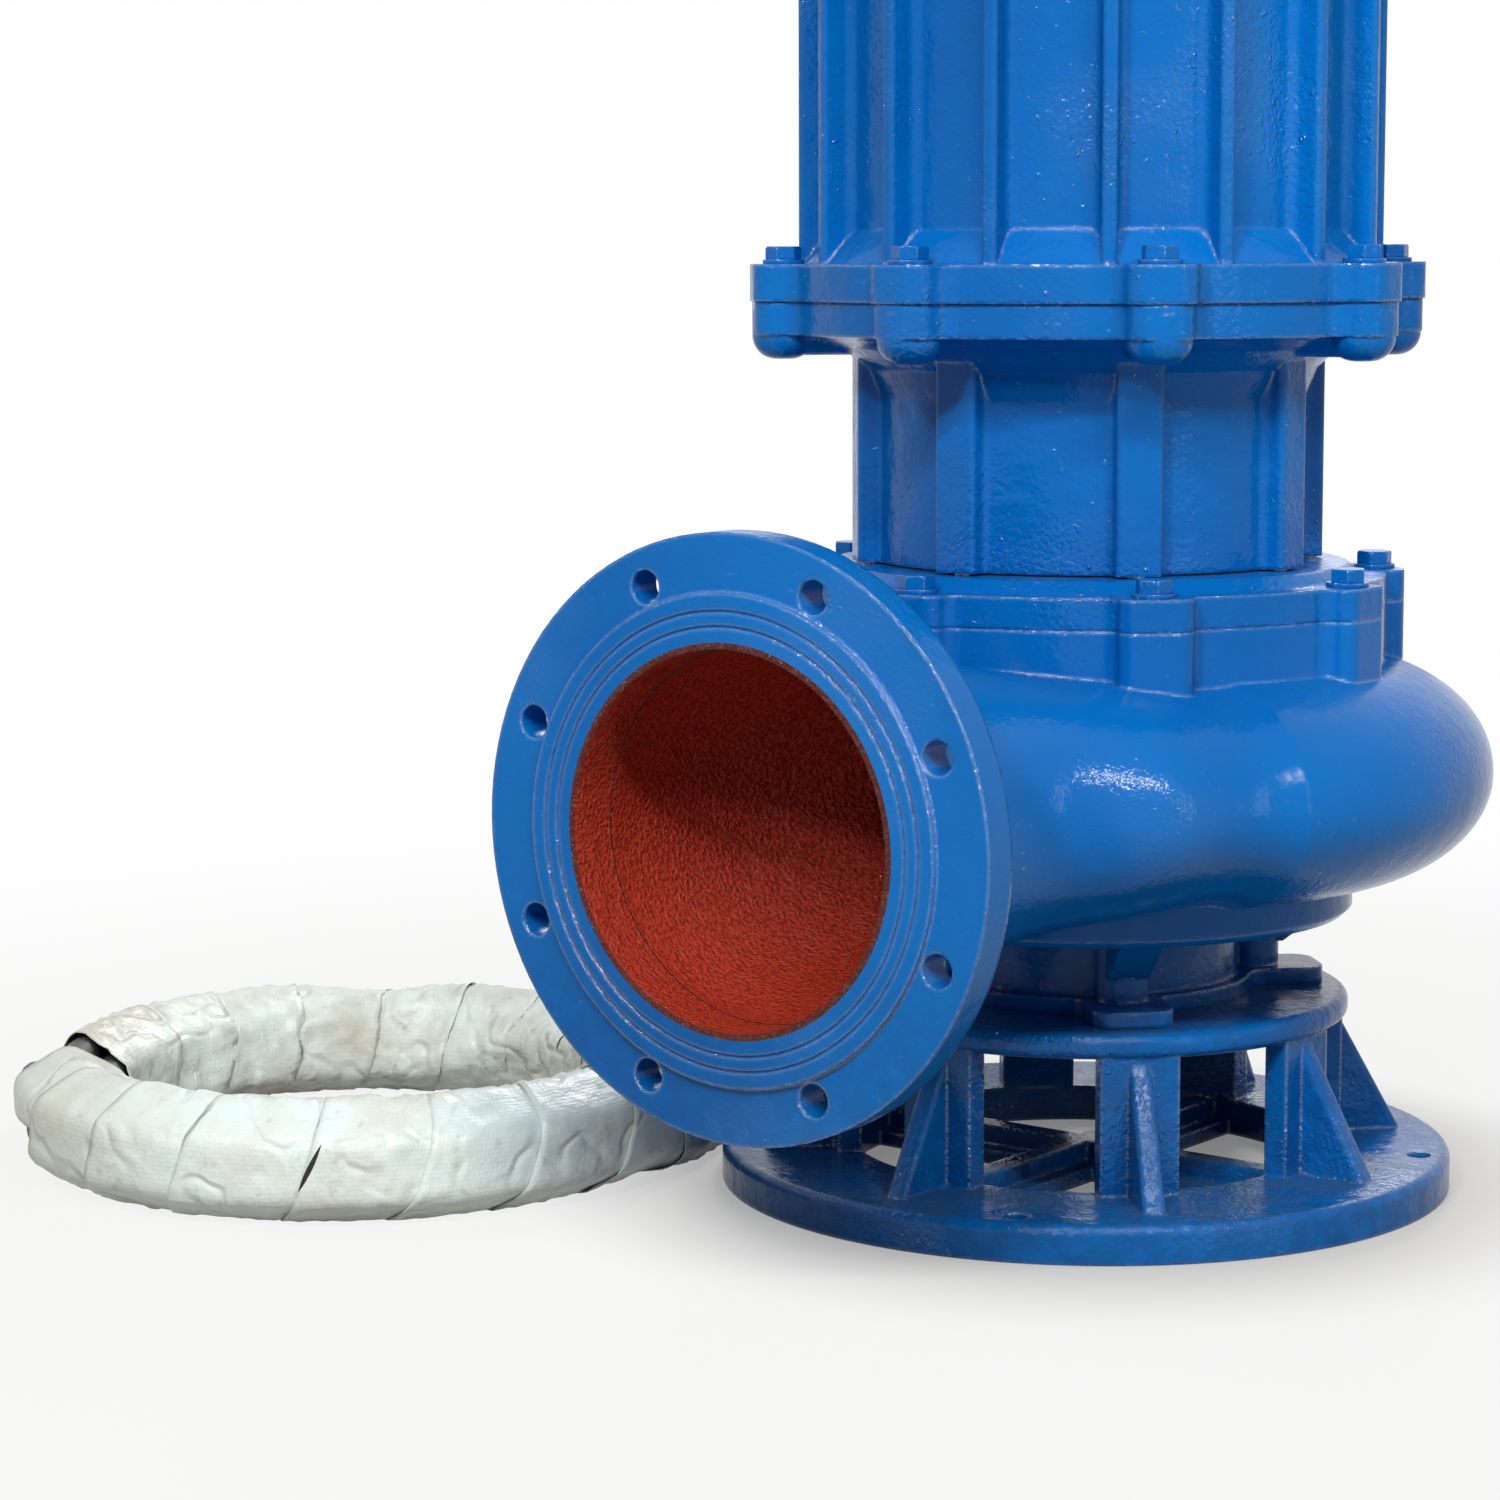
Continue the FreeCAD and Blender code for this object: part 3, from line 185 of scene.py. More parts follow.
powerCable = makeSpline("power_cable", cablePoints(cable), cable["radius"])
cableLine = splineLine(powerCable)


# Bare end of the cable: stripped cores with crimped ferrules
leads = {
    "core": 0.0022,                     # radius over a core's own insulation
    "spread": 0.0042,
    "length": 0.046,
    "ferrule": (0.0013, 0.012),         # radius and length
    "fan": 0.14,                        # how far each core leans out, along over aside
    "colours": ((0.030, 0.012, 0.008), (0.010, 0.010, 0.011), (0.10, 0.10, 0.11),
                (0.22, 0.26, 0.02)),
}


def addRod(bm, start, ahead, radius, length, slot):
    place = Matrix.Translation(start + ahead * (length / 2)) \
        @ ahead.to_track_quat("Z", "Y").to_matrix().to_4x4()
    made = bmesh.ops.create_cone(bm, cap_ends=True, segments=16, radius1=radius, radius2=radius,
                                 depth=length, matrix=place)
    faces = {face for vert in made["verts"] for face in vert.link_faces}
    for face in faces:
        face.material_index = slot
        face.smooth = len(face.verts) == 4


def makeLeads(spec, line):
    end = line[-1]
    ahead = (line[-1] - line[-4]).normalized()
    aside = ahead.cross(Vector((0, 0, 1))).normalized()
    bm = bmesh.new()
    for i in range(len(spec["colours"])):
        a = math.radians(45 + 90 * i)
        out = aside * math.cos(a) + aside.cross(ahead) * math.sin(a)
        lean = (ahead + out * spec["fan"]).normalized()
        start = end + out * spec["spread"] - ahead * 0.004
        addRod(bm, start, lean, spec["core"], spec["length"], i)
        radius, length = spec["ferrule"]
        addRod(bm, start + lean * spec["length"], lean, radius, length, len(spec["colours"]))
    mesh = bpy.data.meshes.new("cable_leads")
    bm.to_mesh(mesh)
    bm.free()
    return addObject("cable_leads", mesh)


cableLeads = makeLeads(leads, cableLine)

# Woven plastic strip wound round the coil, one wrap lapping over the last
wrapper = {
    "stripWidth": 0.080,
    "stripLength": 3.46,
    "thickness": 0.0007,
    "firstAzimuth": 236.0,
    "pitch": 19.34,                     # degrees of ring per wrap
    "wraps": 16.9,
    "clearance": 0.0012,
    "openings": ((306.0, 1.0), (398.0, 6.0)),   # where two wraps part, and by how many degrees
    "lap": 0.0009,                      # a wrap's leading edge lies this far off the wrap under it
    "entryEnds": 44.0,                  # azimuth past which no wrap holds the incoming cable
    "drift": 1.6,                       # degrees by which a wrap's middle wanders
    "crease": (0.0008, 0.0014),         # height everywhere, and what the ring's inside adds
    "ridge": 0.0026,
    "lowest": 0.0008,                   # least height above the floor
    "aroundSteps": 60,
    "acrossSteps": 16,
    "hullSteps": 48,
}


def incomingCable(line):
    # out and up from the ring's middle, against azimuth, for the stretch that joins the coil
    centre = Vector(cable["coilCentre"])
    found = []
    for p in line:
        arm = p - centre
        azimuth = math.degrees(math.atan2(arm.y, arm.x))
        reach = math.hypot(arm.x, arm.y)
        if p.y < 0.03 and 0 < azimuth < 75 and reach > cable["ringRadius"]:
            found.append((azimuth, reach - cable["ringRadius"], arm.z))
        if found and azimuth < 5:
            break
    return sorted(found)


incoming = incomingCable(cableLine)
outlines = {}


def strandsAt(azimuth, withIncoming):
    turn = azimuth % 360
    strands = [strandOffset(k, turn, cable["spacing"]) for k in range(len(bundlePlaces) - 1)]
    if turn >= cable["leaveAzimuth"] or turn <= cable["startAzimuth"]:
        strands.append(strandOffset(len(bundlePlaces) - 1, turn, cable["spacing"]))
    elif withIncoming:
        near = min(incoming, key=lambda spot: abs(spot[0] - turn))
        strands.append(Vector(near[1:]))
    return strands


def outlineAt(azimuth, withIncoming):
    # how far a tight band round the strands reaches, in each direction of the section
    key = (round(azimuth), withIncoming)
    if key not in outlines:
        strands = strandsAt(*key)
        steps = wrapper["hullSteps"]
        room = cable["radius"] + wrapper["clearance"]
        leans = [2 * math.pi * k / steps for k in range(steps)]
        hull = [room + max(c.x * math.cos(a) + c.y * math.sin(a) for c in strands)
                for a in leans]
        outlines[key] = [min(h / math.cos(a - b) for a, h in zip(leans, hull)
                             if math.cos(a - b) > 0.3) for b in leans]
    return outlines[key]


def bundleReach(angle, azimuth, withIncoming):
    steps = wrapper["hullSteps"]
    place = (angle % 360) / 360 * steps
    i, part = int(place), place % 1
    low = math.floor(azimuth)
    near, far = (outlineAt(low + k, withIncoming) for k in (0, 1))
    lerp = azimuth - low
    first = near[i % steps] * (1 - lerp) + far[i % steps] * lerp
    second = near[(i + 1) % steps] * (1 - lerp) + far[(i + 1) % steps] * lerp
    return first * (1 - part) + second * part


def makeWrapper(spec):
    bm = bmesh.new()
    uvLayer = bm.loops.layers.uv.new("strip")
    rows = int(spec["wraps"] * spec["aroundSteps"])
    grid = []
    for i in range(rows + 1):
        turns = i / spec["aroundSteps"]
        angle = turns * 360.0 % 360
        middle = spec["firstAzimuth"] + spec["pitch"] * turns
        middle += spec["drift"] * noise.noise(Vector((turns * 0.9, 4.0, 1.0)))
        for place, opening in spec["openings"]:
            middle += opening / (1 + math.exp(-(middle - place) * 0.8))
        line = []
        for j in range(spec["acrossSteps"] + 1):
            across = j / spec["acrossSteps"] - 0.5
            guess = cable["ringRadius"] + 0.032 * math.cos(math.radians(angle))
            theta = middle + math.degrees(across * spec["stripWidth"] / guess)
            early = 360 < middle < spec["openings"][1][0] and theta % 360 < spec["entryEnds"]
            radius = bundleReach(angle, theta, early)
            lift = spec["lap"] * (0.5 - across) * 2
            inner = 0.5 - 0.5 * math.cos(math.radians(angle))
            crease = noise.noise(Vector((theta * 0.30, angle * 0.014, turns * 0.2)))
            crease += 0.5 * noise.noise(Vector((theta * 0.9, angle * 0.03, turns * 0.4)))
            folds = noise.noise(Vector((theta * 0.75, angle * 0.006, turns * 0.3)))
            ridge = max(0.0, 1 - abs(folds) * 5) * inner
            swell = spec["crease"][0] + spec["crease"][1] * inner
            radius += spec["thickness"] + lift + (crease + 0.6) * swell
            radius += ridge * spec["ridge"]
            side, height = (radius * f(math.radians(angle)) for f in (math.cos, math.sin))
            height = max(height, spec["lowest"] - cable["coilCentre"][2])
            line.append((bm.verts.new(ringPoint(theta, side, height)), turns, across + 0.5))
        grid.append(line)
    for before, after in zip(grid, grid[1:]):
        for j in range(spec["acrossSteps"]):
            quad = (before[j], before[j + 1], after[j + 1], after[j])
            face = bm.faces.new([corner[0] for corner in quad])
            face.smooth = True
            for loop, corner in zip(face.loops, quad):
                loop[uvLayer].uv = (corner[2] * spec["stripWidth"],
                                    corner[1] * spec["stripLength"] / spec["wraps"])
    bmesh.ops.recalc_face_normals(bm, faces=bm.faces[:])
    mesh = bpy.data.meshes.new("coil_wrapper")
    bm.to_mesh(mesh)
    bm.free()
    piece = addObject("coil_wrapper", mesh)
    wall = piece.modifiers.new("wall", "SOLIDIFY")
    wall.thickness = spec["thickness"]
    wall.offset = 0
    return piece


coilWrapper = makeWrapper(wrapper)
print("wrapper made")


class Wire:  # a material's socket, so that plain maths adds Math nodes
    def __init__(self, paint, socket):
        self.paint = paint
        self.socket = socket

    def maths(self, operation, *others):
        inputs = dict(enumerate((self,) + others))
        return self.paint.node("Math", {"operation": operation}, inputs)

    def __add__(self, other):
        return self.maths("ADD", other)

    __radd__ = __add__

    def __sub__(self, other):
        return self.maths("SUBTRACT", other)

    def __rsub__(self, other):
        return self.paint.node("Math", {"operation": "SUBTRACT"}, {0: other, 1: self})

    def __mul__(self, other):
        return self.maths("MULTIPLY", other)

    __rmul__ = __mul__

    def __truediv__(self, other):
        return self.maths("DIVIDE", other)

    def step(self, low, high):
        return self.paint.node("MapRange", {"interpolation_type": "SMOOTHSTEP"},
                               {"Value": self, "From Min": low, "From Max": high}, "Result")


class Paint:  # one material in the making
    def __init__(self, name, **fixed):
        self.material = bpy.data.materials.new(name)
        self.material.use_nodes = True
        self.tree = self.material.node_tree
        self.tree.nodes.clear()
        self.shader = self.tree.nodes.new("ShaderNodeBsdfPrincipled")
        self.output = self.tree.nodes.new("ShaderNodeOutputMaterial")
        self.tree.links.new(self.shader.outputs[0], self.output.inputs["Surface"])
        self.set(self.shader, fixed)
        where = self.tree.nodes.new("ShaderNodeTexCoord")
        self.place = Wire(self, where.outputs["Object"])
        self.uv = Wire(self, where.outputs["UV"])

    def set(self, node, sockets):
        for key, value in sockets.items():
            socket = node.inputs[key]
            if isinstance(value, Wire):
                self.tree.links.new(value.socket, socket)
            elif socket.type == "RGBA" and len(value) == 3:
                socket.default_value = (*value, 1)
            else:
                socket.default_value = value

    def node(self, kind, settings=None, sockets=None, output=0):
        node = self.tree.nodes.new("ShaderNode" + kind)
        for key, value in (settings or {}).items():
            setattr(node, key, value)
        self.set(node, sockets or {})
        return Wire(self, node.outputs[output])

    def speckle(self, scale, detail=3.0, roughness=0.5):
        return self.node("TexNoise", None, {"Vector": self.place, "Scale": scale,
                                            "Detail": detail, "Roughness": roughness}, "Fac")

    def blend(self, share, a, b):
        return self.node("Mix", {"data_type": "RGBA"}, {0: share, 6: a, 7: b}, 2)

    def bump(self, height, strength, distance, normal=None):
        sockets = {"Height": height, "Strength": strength, "Distance": distance}
        if normal:
            sockets["Normal"] = normal
        return self.node("Bump", None, sockets)

    def finish(self, **sockets):
        self.set(self.shader, {k.replace("_", " "): v for k, v in sockets.items()})
        return self.material

    def over(self, share, top):
        # another shader shows in place of the first one where share is 1
        under = Wire(self, self.shader.outputs[0])
        mixed = self.node("MixShader", None, {0: share, 1: under, 2: top})
        self.tree.links.new(mixed.socket, self.output.inputs["Surface"])


enamel = {
    "blue": (0.0008, 0.142, 0.468),
    "deepBlue": (0.0006, 0.102, 0.365),
    "thinAndHighlitBlue": (0.016, 0.200, 0.56),   # lighter on edges, where the paint thins, and a painted highlight
    # dust on upward faces; its dark tone is partly painted shade
    "dustAndShade": (0.045, 0.080, 0.115),
    # painted shade: a darker blue for the lower parts, where less light falls
    "paintedShade": (0.0050, 0.050, 0.165),
    "roughness": 0.16,
    "gloss": 0.14,
    "edgeRadius": 0.0036,
    "edgeTurn": (0.010, 0.22),          # how far a normal turns where an edge begins and is full
    "glintRoughness": 0.09,
    "glintIndex": 2.1,
    "peelScale": 330.0,
    "castScale": 62.0,
    "wearScale": 95.0,
    "pimpleScale": 240.0,
    "paintedShadeHeights": (0.30, 0.02),       # painted shade towards the floor: it begins at the first and is full at the second
    "bump": (0.80, 0.0014),             # strength and distance
}
primer = {
    "red": (0.42, 0.042, 0.020),
    "maroon": (0.24, 0.020, 0.010),
    "ledge": (0.09, 0.010, 0.006),
    "pebbles": 420.0,
    "pebbleHeight": 2.8,
    "castHeight": 1.5,
    "glint": 0.22,
}


def surfaceNormal(paint):
    return paint.node("NewGeometry", None, None, "Normal")


def split(paint, vector):
    return [paint.node("SeparateXYZ", None, {0: vector}, axis) for axis in "XYZ"]


def roundedNormal(paint, radius):
    return paint.node("Bevel", {"samples": 4}, {"Radius": radius})


def edgeMask(paint, rounded):
    # 1 where the rounded normal turns away from the face's own
    facing = paint.node("VectorMath", {"operation": "DOT_PRODUCT"},
                        {0: rounded, 1: surfaceNormal(paint)}, "Value")
    return (1 - facing).step(*enamel["edgeTurn"])


def makeEnamel(name, extraDustAndShade=0.0, redInside=None, edgeRadius=enamel["edgeRadius"], relief=1.0):
    paint = Paint(name, Roughness=enamel["roughness"])
    paint.set(paint.shader, {"Specular IOR Level": enamel["gloss"]})
    rounded = roundedNormal(paint, edgeRadius)
    edge = edgeMask(paint, rounded)
    broad = paint.speckle(4.0, 2.0).step(0.30, 0.70)
    worn = paint.speckle(enamel["wearScale"], 3.0).step(0.42, 0.62)
    colour = paint.blend(broad, enamel["deepBlue"], enamel["blue"])
    # edges lighter in patches: thinner paint there, and a painted highlight
    colour = paint.blend(edge * worn * 0.5, colour, enamel["thinAndHighlitBlue"])
    # upward faces take speckled dust in a dark tone: partly dust, partly painted shade
    facingUp = split(paint, surfaceNormal(paint))[2].step(0.75, 0.98)
    dustAndShade = facingUp * paint.speckle(18.0, 5.0, 0.65).step(0.38, 0.70)
    # painted shade: darker blue towards the floor, mottled by the wear noise
    low = split(paint, paint.place)[2].step(*enamel["paintedShadeHeights"])
    colour = paint.blend(low * (0.30 + 0.2 * (1 - worn)), colour, enamel["paintedShade"])
    colour = paint.blend(dustAndShade * (0.12 + extraDustAndShade), colour, enamel["dustAndShade"])
    roughness = enamel["roughness"] + dustAndShade * 0.25 - edge * 0.06
    peel = paint.speckle(enamel["peelScale"], 2.0)
    cast = paint.speckle(enamel["castScale"], 3.0)
    rough = paint.speckle(9.0, 2.0).step(0.50, 0.68)   # patches where the casting was rougher
    pimples = paint.speckle(enamel["pimpleScale"], 1.0).step(0.68, 0.80) * (0.25 + rough * 0.75)
    height = (cast * 1.2 + peel * (0.28 + rough * 0.7) + pimples * 0.9) * relief \
        + peel * edge * 1.5
    shine = edge.maths("MAXIMUM", pimples * 0.7).maths("MAXIMUM", rough * 0.10)
    if redInside:
        inside = redInside(paint)
        pebbles = paint.speckle(primer["pebbles"], 2.5, 0.55)
        redTone = paint.blend(pebbles.step(0.30, 0.65), primer["maroon"], primer["red"])
        ny = split(paint, surfaceNormal(paint))[1]
        ledge = ny.maths("LESS_THAN", -0.9)            # the narrow step at the end of the bore
        redTone = paint.blend(ledge, redTone, primer["ledge"])
        colour = paint.blend(inside, colour, redTone)
        grain = pebbles * primer["pebbleHeight"] + cast * primer["castHeight"]
        height = height * (1 - inside) + inside * grain
        shine = shine * (1 - inside) + inside * pebbles.step(0.45, 0.70) * primer["glint"]
    normal = paint.bump(height, *enamel["bump"], rounded)
    glint = paint.node("BsdfPrincipled", None, {
        "Base Color": colour, "Normal": normal, "Roughness": enamel["glintRoughness"],
        "IOR": enamel["glintIndex"]})
    paint.over(shine, glint)
    return paint.finish(Base_Color=colour, Roughness=roughness, Normal=normal)


def plain(name, colour, roughness, metallic=0.0, grain=120.0, contrast=0.25, bump=0.15):
    paint = Paint(name, Metallic=metallic)
    tone = paint.speckle(grain, 4.0)
    dark = tuple(c * (1 - contrast) for c in colour)
    shade = paint.blend(tone.step(0.3, 0.7), dark, colour)
    rounded = roundedNormal(paint, 0.0006)
    normal = paint.bump(tone, bump, 0.0004, rounded)
    return paint.finish(Base_Color=shade, Roughness=roughness + tone * 0.15, Normal=normal)


# The passage through the casing, measured to the middle of its wall
passage = {
    "flowHeight": 0.2435,
    "spiralHeight": 0.248,
    "spiralCore": 0.153,
    "spiralStart": 0.0198,              # width of the section where the spiral begins
    "spiralGrowth": 0.0139,             # and how much it gains for each radian
    "spiralHalf": 0.0583,
    "coreHalf": 0.0635,                 # half height of the room round the impeller
    "startAzimuth": math.radians(-100),
    "neckEnds": (-0.300, -0.085),       # y of the neck's outer and inner end
    "neckShift": 0.105,                 # sideways offset of the neck's inner end
    "neckRise": 0.0045,
    "neckWide": 0.118,
    "neckTall": 0.110,
    "neckFlatter": 0.045,               # how much of that is lost by the y below
    "neckFlatAt": -0.150,
    "neckFaces": (-0.322, -0.105),      # y between which the neck's faces are red
    "boreEnd": -0.318,                  # the bore's y, from here outward
    "boreRadius": 0.1035,
    "inletRadius": 0.082,
    "coverSeam": 0.3405,
}


def squared(*sides):
    return sum(side * side for side in sides)


def redMask(paint):
    x, y, z = split(paint, paint.place)
    nx, ny, nz = split(paint, surfaceNormal(paint))
    radius = squared(x, y).maths("SQRT")
    outward = (nx * x + ny * y) / radius
    # spiral: inside its oval section, which grows along its travel
    azimuth = y.maths("ARCTAN2", x)
    travel = (passage["startAzimuth"] - azimuth + 4 * math.pi).maths("MODULO", 2 * math.pi)
    wide = travel * passage["spiralGrowth"] + passage["spiralStart"]
    dr = radius - passage["spiralCore"]
    dz = z - passage["spiralHeight"]
    room = squared(dr / wide, dz / passage["spiralHalf"])
    core = dr.maths("LESS_THAN", 0) * dz.maths("ABSOLUTE").maths("LESS_THAN", passage["coreHalf"])
    inward = (dr * outward + dz * nz).maths("LESS_THAN", -0.0004)
    inSpiral = (room.maths("LESS_THAN", 1) * inward).maths("MAXIMUM", core)
    # neck: faces that look at a middle line that swings from the side to the flange
    swing = y.step(*passage["neckEnds"])
    dx = x - swing * passage["neckShift"]
    dh = z - passage["flowHeight"] - swing * passage["neckRise"]
    flatter = y.step(passage["neckEnds"][0], passage["neckFlatAt"]) * passage["neckFlatter"]
    tall = passage["neckTall"] - flatter
    room = squared(dx / passage["neckWide"], dh / tall)
    faces = (dx * nx + dh * nz).maths("LESS_THAN", -0.002) * room.maths("LESS_THAN", 1)
    bore = squared(x, z - passage["flowHeight"]).maths("LESS_THAN", passage["boreRadius"] ** 2)
    outer, inner = passage["neckFaces"]
    within = y.maths("LESS_THAN", inner) * y.maths("GREATER_THAN", outer)
    inBore = bore * y.maths("LESS_THAN", passage["boreEnd"])
    inlet = radius.maths("LESS_THAN", passage["inletRadius"]) * outward.maths("LESS_THAN", -0.5)
    parts = (faces * within).maths("MAXIMUM", inBore).maths("MAXIMUM", inlet)
    return inSpiral.maths("MAXIMUM", parts)


def wetSide(paint):
    # the pump cover's faces that close the casing, below its seam
    return split(paint, paint.place)[2].maths("LESS_THAN", passage["coverSeam"])


materials = {
    "enamel": makeEnamel("blueEnamel"),
    "cover": makeEnamel("coverEnamel", redInside=wetSide),
    "volute": makeEnamel("voluteEnamel", redInside=redMask, relief=0.45),
    "stand": makeEnamel("standEnamel", extraDustAndShade=0.45),
    "fastener": makeEnamel("fastenerEnamel", edgeRadius=0.0014),
    "steel": plain("machinedSteel", (0.50, 0.51, 0.53), 0.28, 1.0),
    "iron": plain("castIron", (0.10, 0.10, 0.11), 0.45, 0.6),
    "primer": plain("redPrimer", (0.235, 0.022, 0.010), 0.45, 0.0, 220.0, 0.5, 0.6),
    "bronze": plain("turnedBronze", (0.50, 0.31, 0.12), 0.32, 1.0),
    "copper": plain("varnishedCopper", (0.42, 0.14, 0.04), 0.35, 0.6),
    "alloy": plain("castAlloy", (0.58, 0.58, 0.60), 0.42, 1.0),
    "carbide": plain("lappedCarbide", (0.05, 0.05, 0.055), 0.18),
    "rubber": plain("blackRubber", (0.018, 0.018, 0.019), 0.55),
    "gasket": plain("fibreGasket", (0.035, 0.035, 0.037), 0.75),
    "terminal": plain("mouldedTerminal", (0.05, 0.035, 0.025), 0.30),
    "cable": plain("cableJacket", (0.030, 0.031, 0.030), 0.48, 0.0, 90.0, 0.35, 0.2),
}


# Slit in the wrapper's seam, by azimuth and height round the coil
slit = {
    "azimuth": math.radians(-57.0),     # at its foot
    "lean": 2.35,                       # radians of azimuth per metre of height
    "foot": 0.0245,
    "middle": 0.0370,
    "halfHeight": 0.0140,
    "halfWidth": 0.0017,
}


def slitMask(paint, angle, ring, z):
    line = (z - slit["foot"]) * slit["lean"] + slit["azimuth"]
    away = ((angle - line) * ring).maths("ABSOLUTE")
    share = (z - slit["middle"]) / slit["halfHeight"]
    room = (1 - share * share) * slit["halfWidth"]
    outside = ring.maths("GREATER_THAN", cable["ringRadius"])
    return away.maths("LESS_THAN", room) * outside


woven = {
    "clean": (0.70, 0.80, 0.77),
    "smudged": (0.60, 0.57, 0.46),
    "stained": (0.36, 0.30, 0.20),
    # darker, yellower tone for the coil's left side: yellowing and painted shade
    "yellowedAndShaded": (0.50, 0.46, 0.34),
    # tone of the scuffs, and of the coil's foot, which is darker towards the floor
    "scuffAndFootTone": (0.33, 0.31, 0.26),
    "tapeGap": (0.46, 0.52, 0.51),
    # the slit is painted near black: the dark cable beneath, and painted shade in the gap
    "slit": (0.008, 0.008, 0.007),
    "tapeScale": 120.0,
    "bump": (0.45, 0.0008),             # strength and distance
}


def makeWoven():
    paint = Paint("wovenStrip")
    tapes = [paint.node("TexWave", {"wave_type": "BANDS", "bands_direction": axis},
                        {"Vector": paint.uv, "Scale": woven["tapeScale"], "Distortion": 0.5,
                         "Detail": 1.0, "Detail Scale": 0.4}, "Fac") for axis in "XY"]
    smudge = paint.speckle(9.0, 5.0, 0.65).step(0.48, 0.72)
    scuffs = paint.speckle(70.0, 3.0, 0.7).step(0.60, 0.74)
    x, y, z = split(paint, paint.place)
    outX, outY = x - cable["coilCentre"][0], y - cable["coilCentre"][1]
    # painted shade: the coil's left side is painted darker and yellower, with some yellowing
    left = (outX * 0.80 + outY * 0.60).step(-0.05, -0.20)
    ring = squared(outX, outY).maths("SQRT")
    inside = ring.step(0.165, 0.146)
    ridge = z.step(0.058, 0.066) * ring.step(0.186, 0.172)
    # the coil's foot is darker towards the floor
    low = z.step(0.018, 0.002)
    stained = paint.speckle(13.0, 4.0, 0.6).step(0.40, 0.62)
    colour = paint.blend(smudge * 0.6, woven["clean"], woven["smudged"])
    colour = paint.blend((inside * 0.45 + ridge * 0.45) * stained, colour, woven["stained"])
    colour = paint.blend(left * (0.45 + stained * 0.30), colour, woven["yellowedAndShaded"])
    colour = paint.blend(scuffs * 0.35 + low * 0.5, colour, woven["scuffAndFootTone"])
    colour = paint.blend(tapes[0] * tapes[1] * 0.12, colour, woven["tapeGap"])
    # painted dark slit: the cable under the tear, and painted shade inside it
    torn = slitMask(paint, outY.maths("ARCTAN2", outX), ring, z)
    colour = paint.blend(torn, colour, woven["slit"])
    crinkle = paint.speckle(48.0, 4.0, 0.6)
    creases = (paint.speckle(17.0, 2.0, 0.5) - 0.5).maths("ABSOLUTE").step(0.0, 0.05)
    height = (tapes[0] + tapes[1]) * 0.12 + crinkle * 5 + creases * 3.4 - torn * 6
    normal = paint.bump(height, *woven["bump"])
    return paint.finish(Base_Color=colour, Roughness=0.40 + smudge * 0.2 + torn * 0.3,
                        Normal=normal)


materials["woven"] = makeWoven()

slotMaterial = {
    "blue_enamel": "enamel", "bronze": "bronze", "rubber": "rubber", "gasket": "gasket",
    "steel": "steel", "dark_iron": "iron", "copper": "copper", "terminal_plastic": "terminal",
    "end_ring_alloy": "alloy", "impeller_iron": "primer", "seal_carbide": "carbide",
    "cable_rubber": "cable", "woven_wrap": "woven",
}
nodeMaterial = {"volute_casing": "volute", "pump_cover": "cover", "base_stand": "stand"}
for name in ("stand_bolts", "cover_bolts", "cover_washers", "frame_bolts", "frame_washers",
             "top_bolts", "top_washers", "oil_plug", "leak_probe", "cable_gland", "gland_clamp"):
    nodeMaterial[name] = "fastener"


def dress(piece, name):
    piece.data.materials.clear()
    piece.data.materials.append(materials[name])


for part in frame["record"]["subparts"]:
    node = part["node"]
    dress(frame["nodes"][node], nodeMaterial.get(node, slotMaterial[part["material_slot"]]))

for colour in leads["colours"]:
    cableLeads.data.materials.append(plain("coreInsulation", colour, 0.40, 0.0, 200.0, 0.1))
cableLeads.data.materials.append(materials["alloy"])
dress(powerCable, "cable")
dress(coilWrapper, "woven")
print("materials made:", len(materials))

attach(powerCable, "housing")
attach(coilWrapper, "housing")
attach(cableLeads, "housing")
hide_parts("cable_run", "cable_coil")

# Studio: pale floor, soft lamps, white surroundings
studio = {
    "floorSize": 14.0,
    "floorTone": (0.38, 0.36, 0.33),
    "whiteShare": 0.86,                 # how much of the floor is plain white round the object
    "whiteUnder": 0.20,                 # and right under the stand, where its shadow is deepest
    "shadeRadii": (0.15, 0.36),
    "whiteFrom": (0.55, 1.6),           # radii between which the rest turns white too
    "worldTone": 0.15,
}


def makeFloor(spec):
    bm = bmesh.new()
    bmesh.ops.create_grid(bm, x_segments=1, y_segments=1, size=spec["floorSize"] / 2)
    bmesh.ops.translate(bm, vec=(0, 0, -0.0004), verts=bm.verts[:])
    mesh = bpy.data.meshes.new("floor")
    bm.to_mesh(mesh)
    bm.free()
    floor = addObject("floor", mesh)
    paint = Paint("paleFloor", Roughness=0.9)
    glow = paint.node("Emission", None, {"Color": (1, 1, 1, 1), "Strength": 1.0})
    ray = sum((paint.node("LightPath", None, None, kind) for kind in
               ("Is Glossy Ray", "Is Transmission Ray")),
              paint.node("LightPath", None, None, "Is Camera Ray"))
    x, y, z = split(paint, paint.place)
    away = squared(x, y).maths("SQRT")
    share = away.step(*spec["shadeRadii"]) * (spec["whiteShare"] - spec["whiteUnder"]) \
        + away.step(*spec["whiteFrom"]) * (1 - spec["whiteShare"]) + spec["whiteUnder"]
    paint.over(ray.maths("MINIMUM", 1) * share, glow)
    floor.data.materials.append(paint.finish(Base_Color=spec["floorTone"]))


makeFloor(studio)


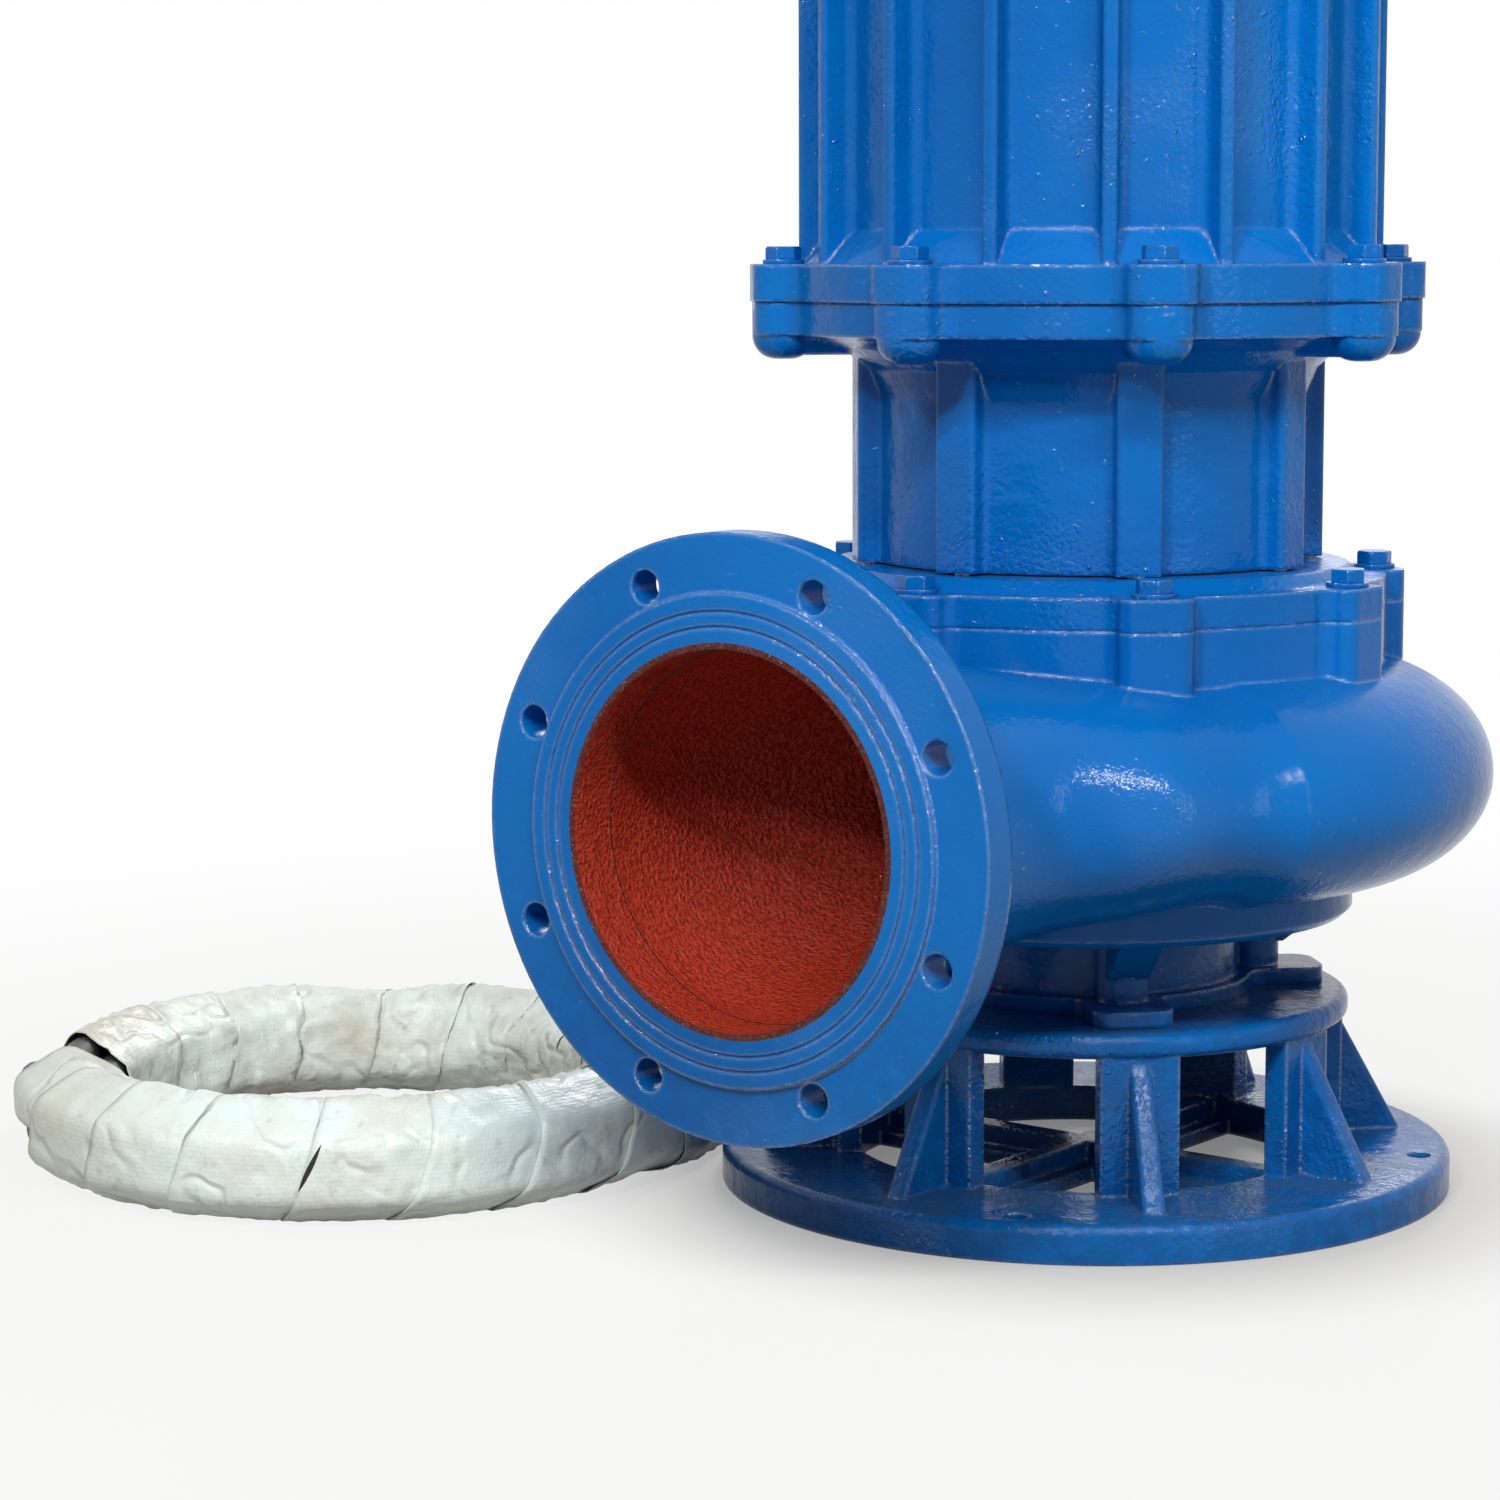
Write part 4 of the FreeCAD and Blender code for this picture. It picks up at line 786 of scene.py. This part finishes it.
def makeWorld(spec):
    world = bpy.data.worlds.new("surroundings")
    bpy.context.scene.world = world
    world.use_nodes = True
    tree = world.node_tree
    tree.nodes.clear()
    rays = tree.nodes.new("ShaderNodeLightPath")
    white = tree.nodes.new("ShaderNodeBackground")
    white.inputs["Color"].default_value = (1, 1, 1, 1)
    soft = tree.nodes.new("ShaderNodeBackground")
    soft.inputs["Color"].default_value = (0.93, 0.97, 1.0, 1)
    soft.inputs["Strength"].default_value = spec["worldTone"]
    seen = tree.nodes.new("ShaderNodeMath")
    seen.operation = "ADD"
    tree.links.new(rays.outputs["Is Camera Ray"], seen.inputs[0])
    tree.links.new(rays.outputs["Is Glossy Ray"], seen.inputs[1])
    either = tree.nodes.new("ShaderNodeMath")
    either.operation = "ADD"
    either.use_clamp = True
    tree.links.new(seen.outputs[0], either.inputs[0])
    tree.links.new(rays.outputs["Is Transmission Ray"], either.inputs[1])
    mix = tree.nodes.new("ShaderNodeMixShader")
    output = tree.nodes.new("ShaderNodeOutputWorld")
    tree.links.new(either.outputs[0], mix.inputs[0])
    tree.links.new(soft.outputs[0], mix.inputs[1])
    tree.links.new(white.outputs[0], mix.inputs[2])
    tree.links.new(mix.outputs[0], output.inputs["Surface"])


makeWorld(studio)

lamps = (
    {"name": "rowLamp", "place": (1.65, -2.15, 2.75), "aim": (0, 0, 0.35), "size": (3.4, 0.15),
     "power": 128},
    {"name": "keyLamp", "place": (0.60, -2.85, 2.1), "aim": (0, 0, 0.30), "size": (0.27, 0.27),
     "power": 30},
    {"name": "stripLamp", "place": (2.9, -0.5, 1.1), "aim": (0, 0, 0.35), "size": (0.13, 1.3),
     "power": 5.5},
    {"name": "leftLamp", "place": (-2.6, -0.9, 2.3), "aim": (0, 0, 0.5), "size": (0.15, 1.2),
     "power": 7.5},
    {"name": "backLamp", "place": (-1.2, 2.6, 2.4), "aim": (0, 0, 0.5), "size": (0.8, 1.8),
     "power": 60},
)
for spec in lamps:
    light = bpy.data.lights.new(spec["name"], "AREA")
    light.shape = "RECTANGLE"
    light.size, light.size_y = spec["size"]
    light.energy = spec["power"]
    lamp = addObject(spec["name"], light)
    lamp.location = spec["place"]
    aim = Vector(spec["aim"]) - Vector(spec["place"])
    lamp.rotation_euler = aim.to_track_quat("-Z", "Y").to_euler()

bpy.context.scene.view_settings.view_transform = "Standard"
print("studio made")
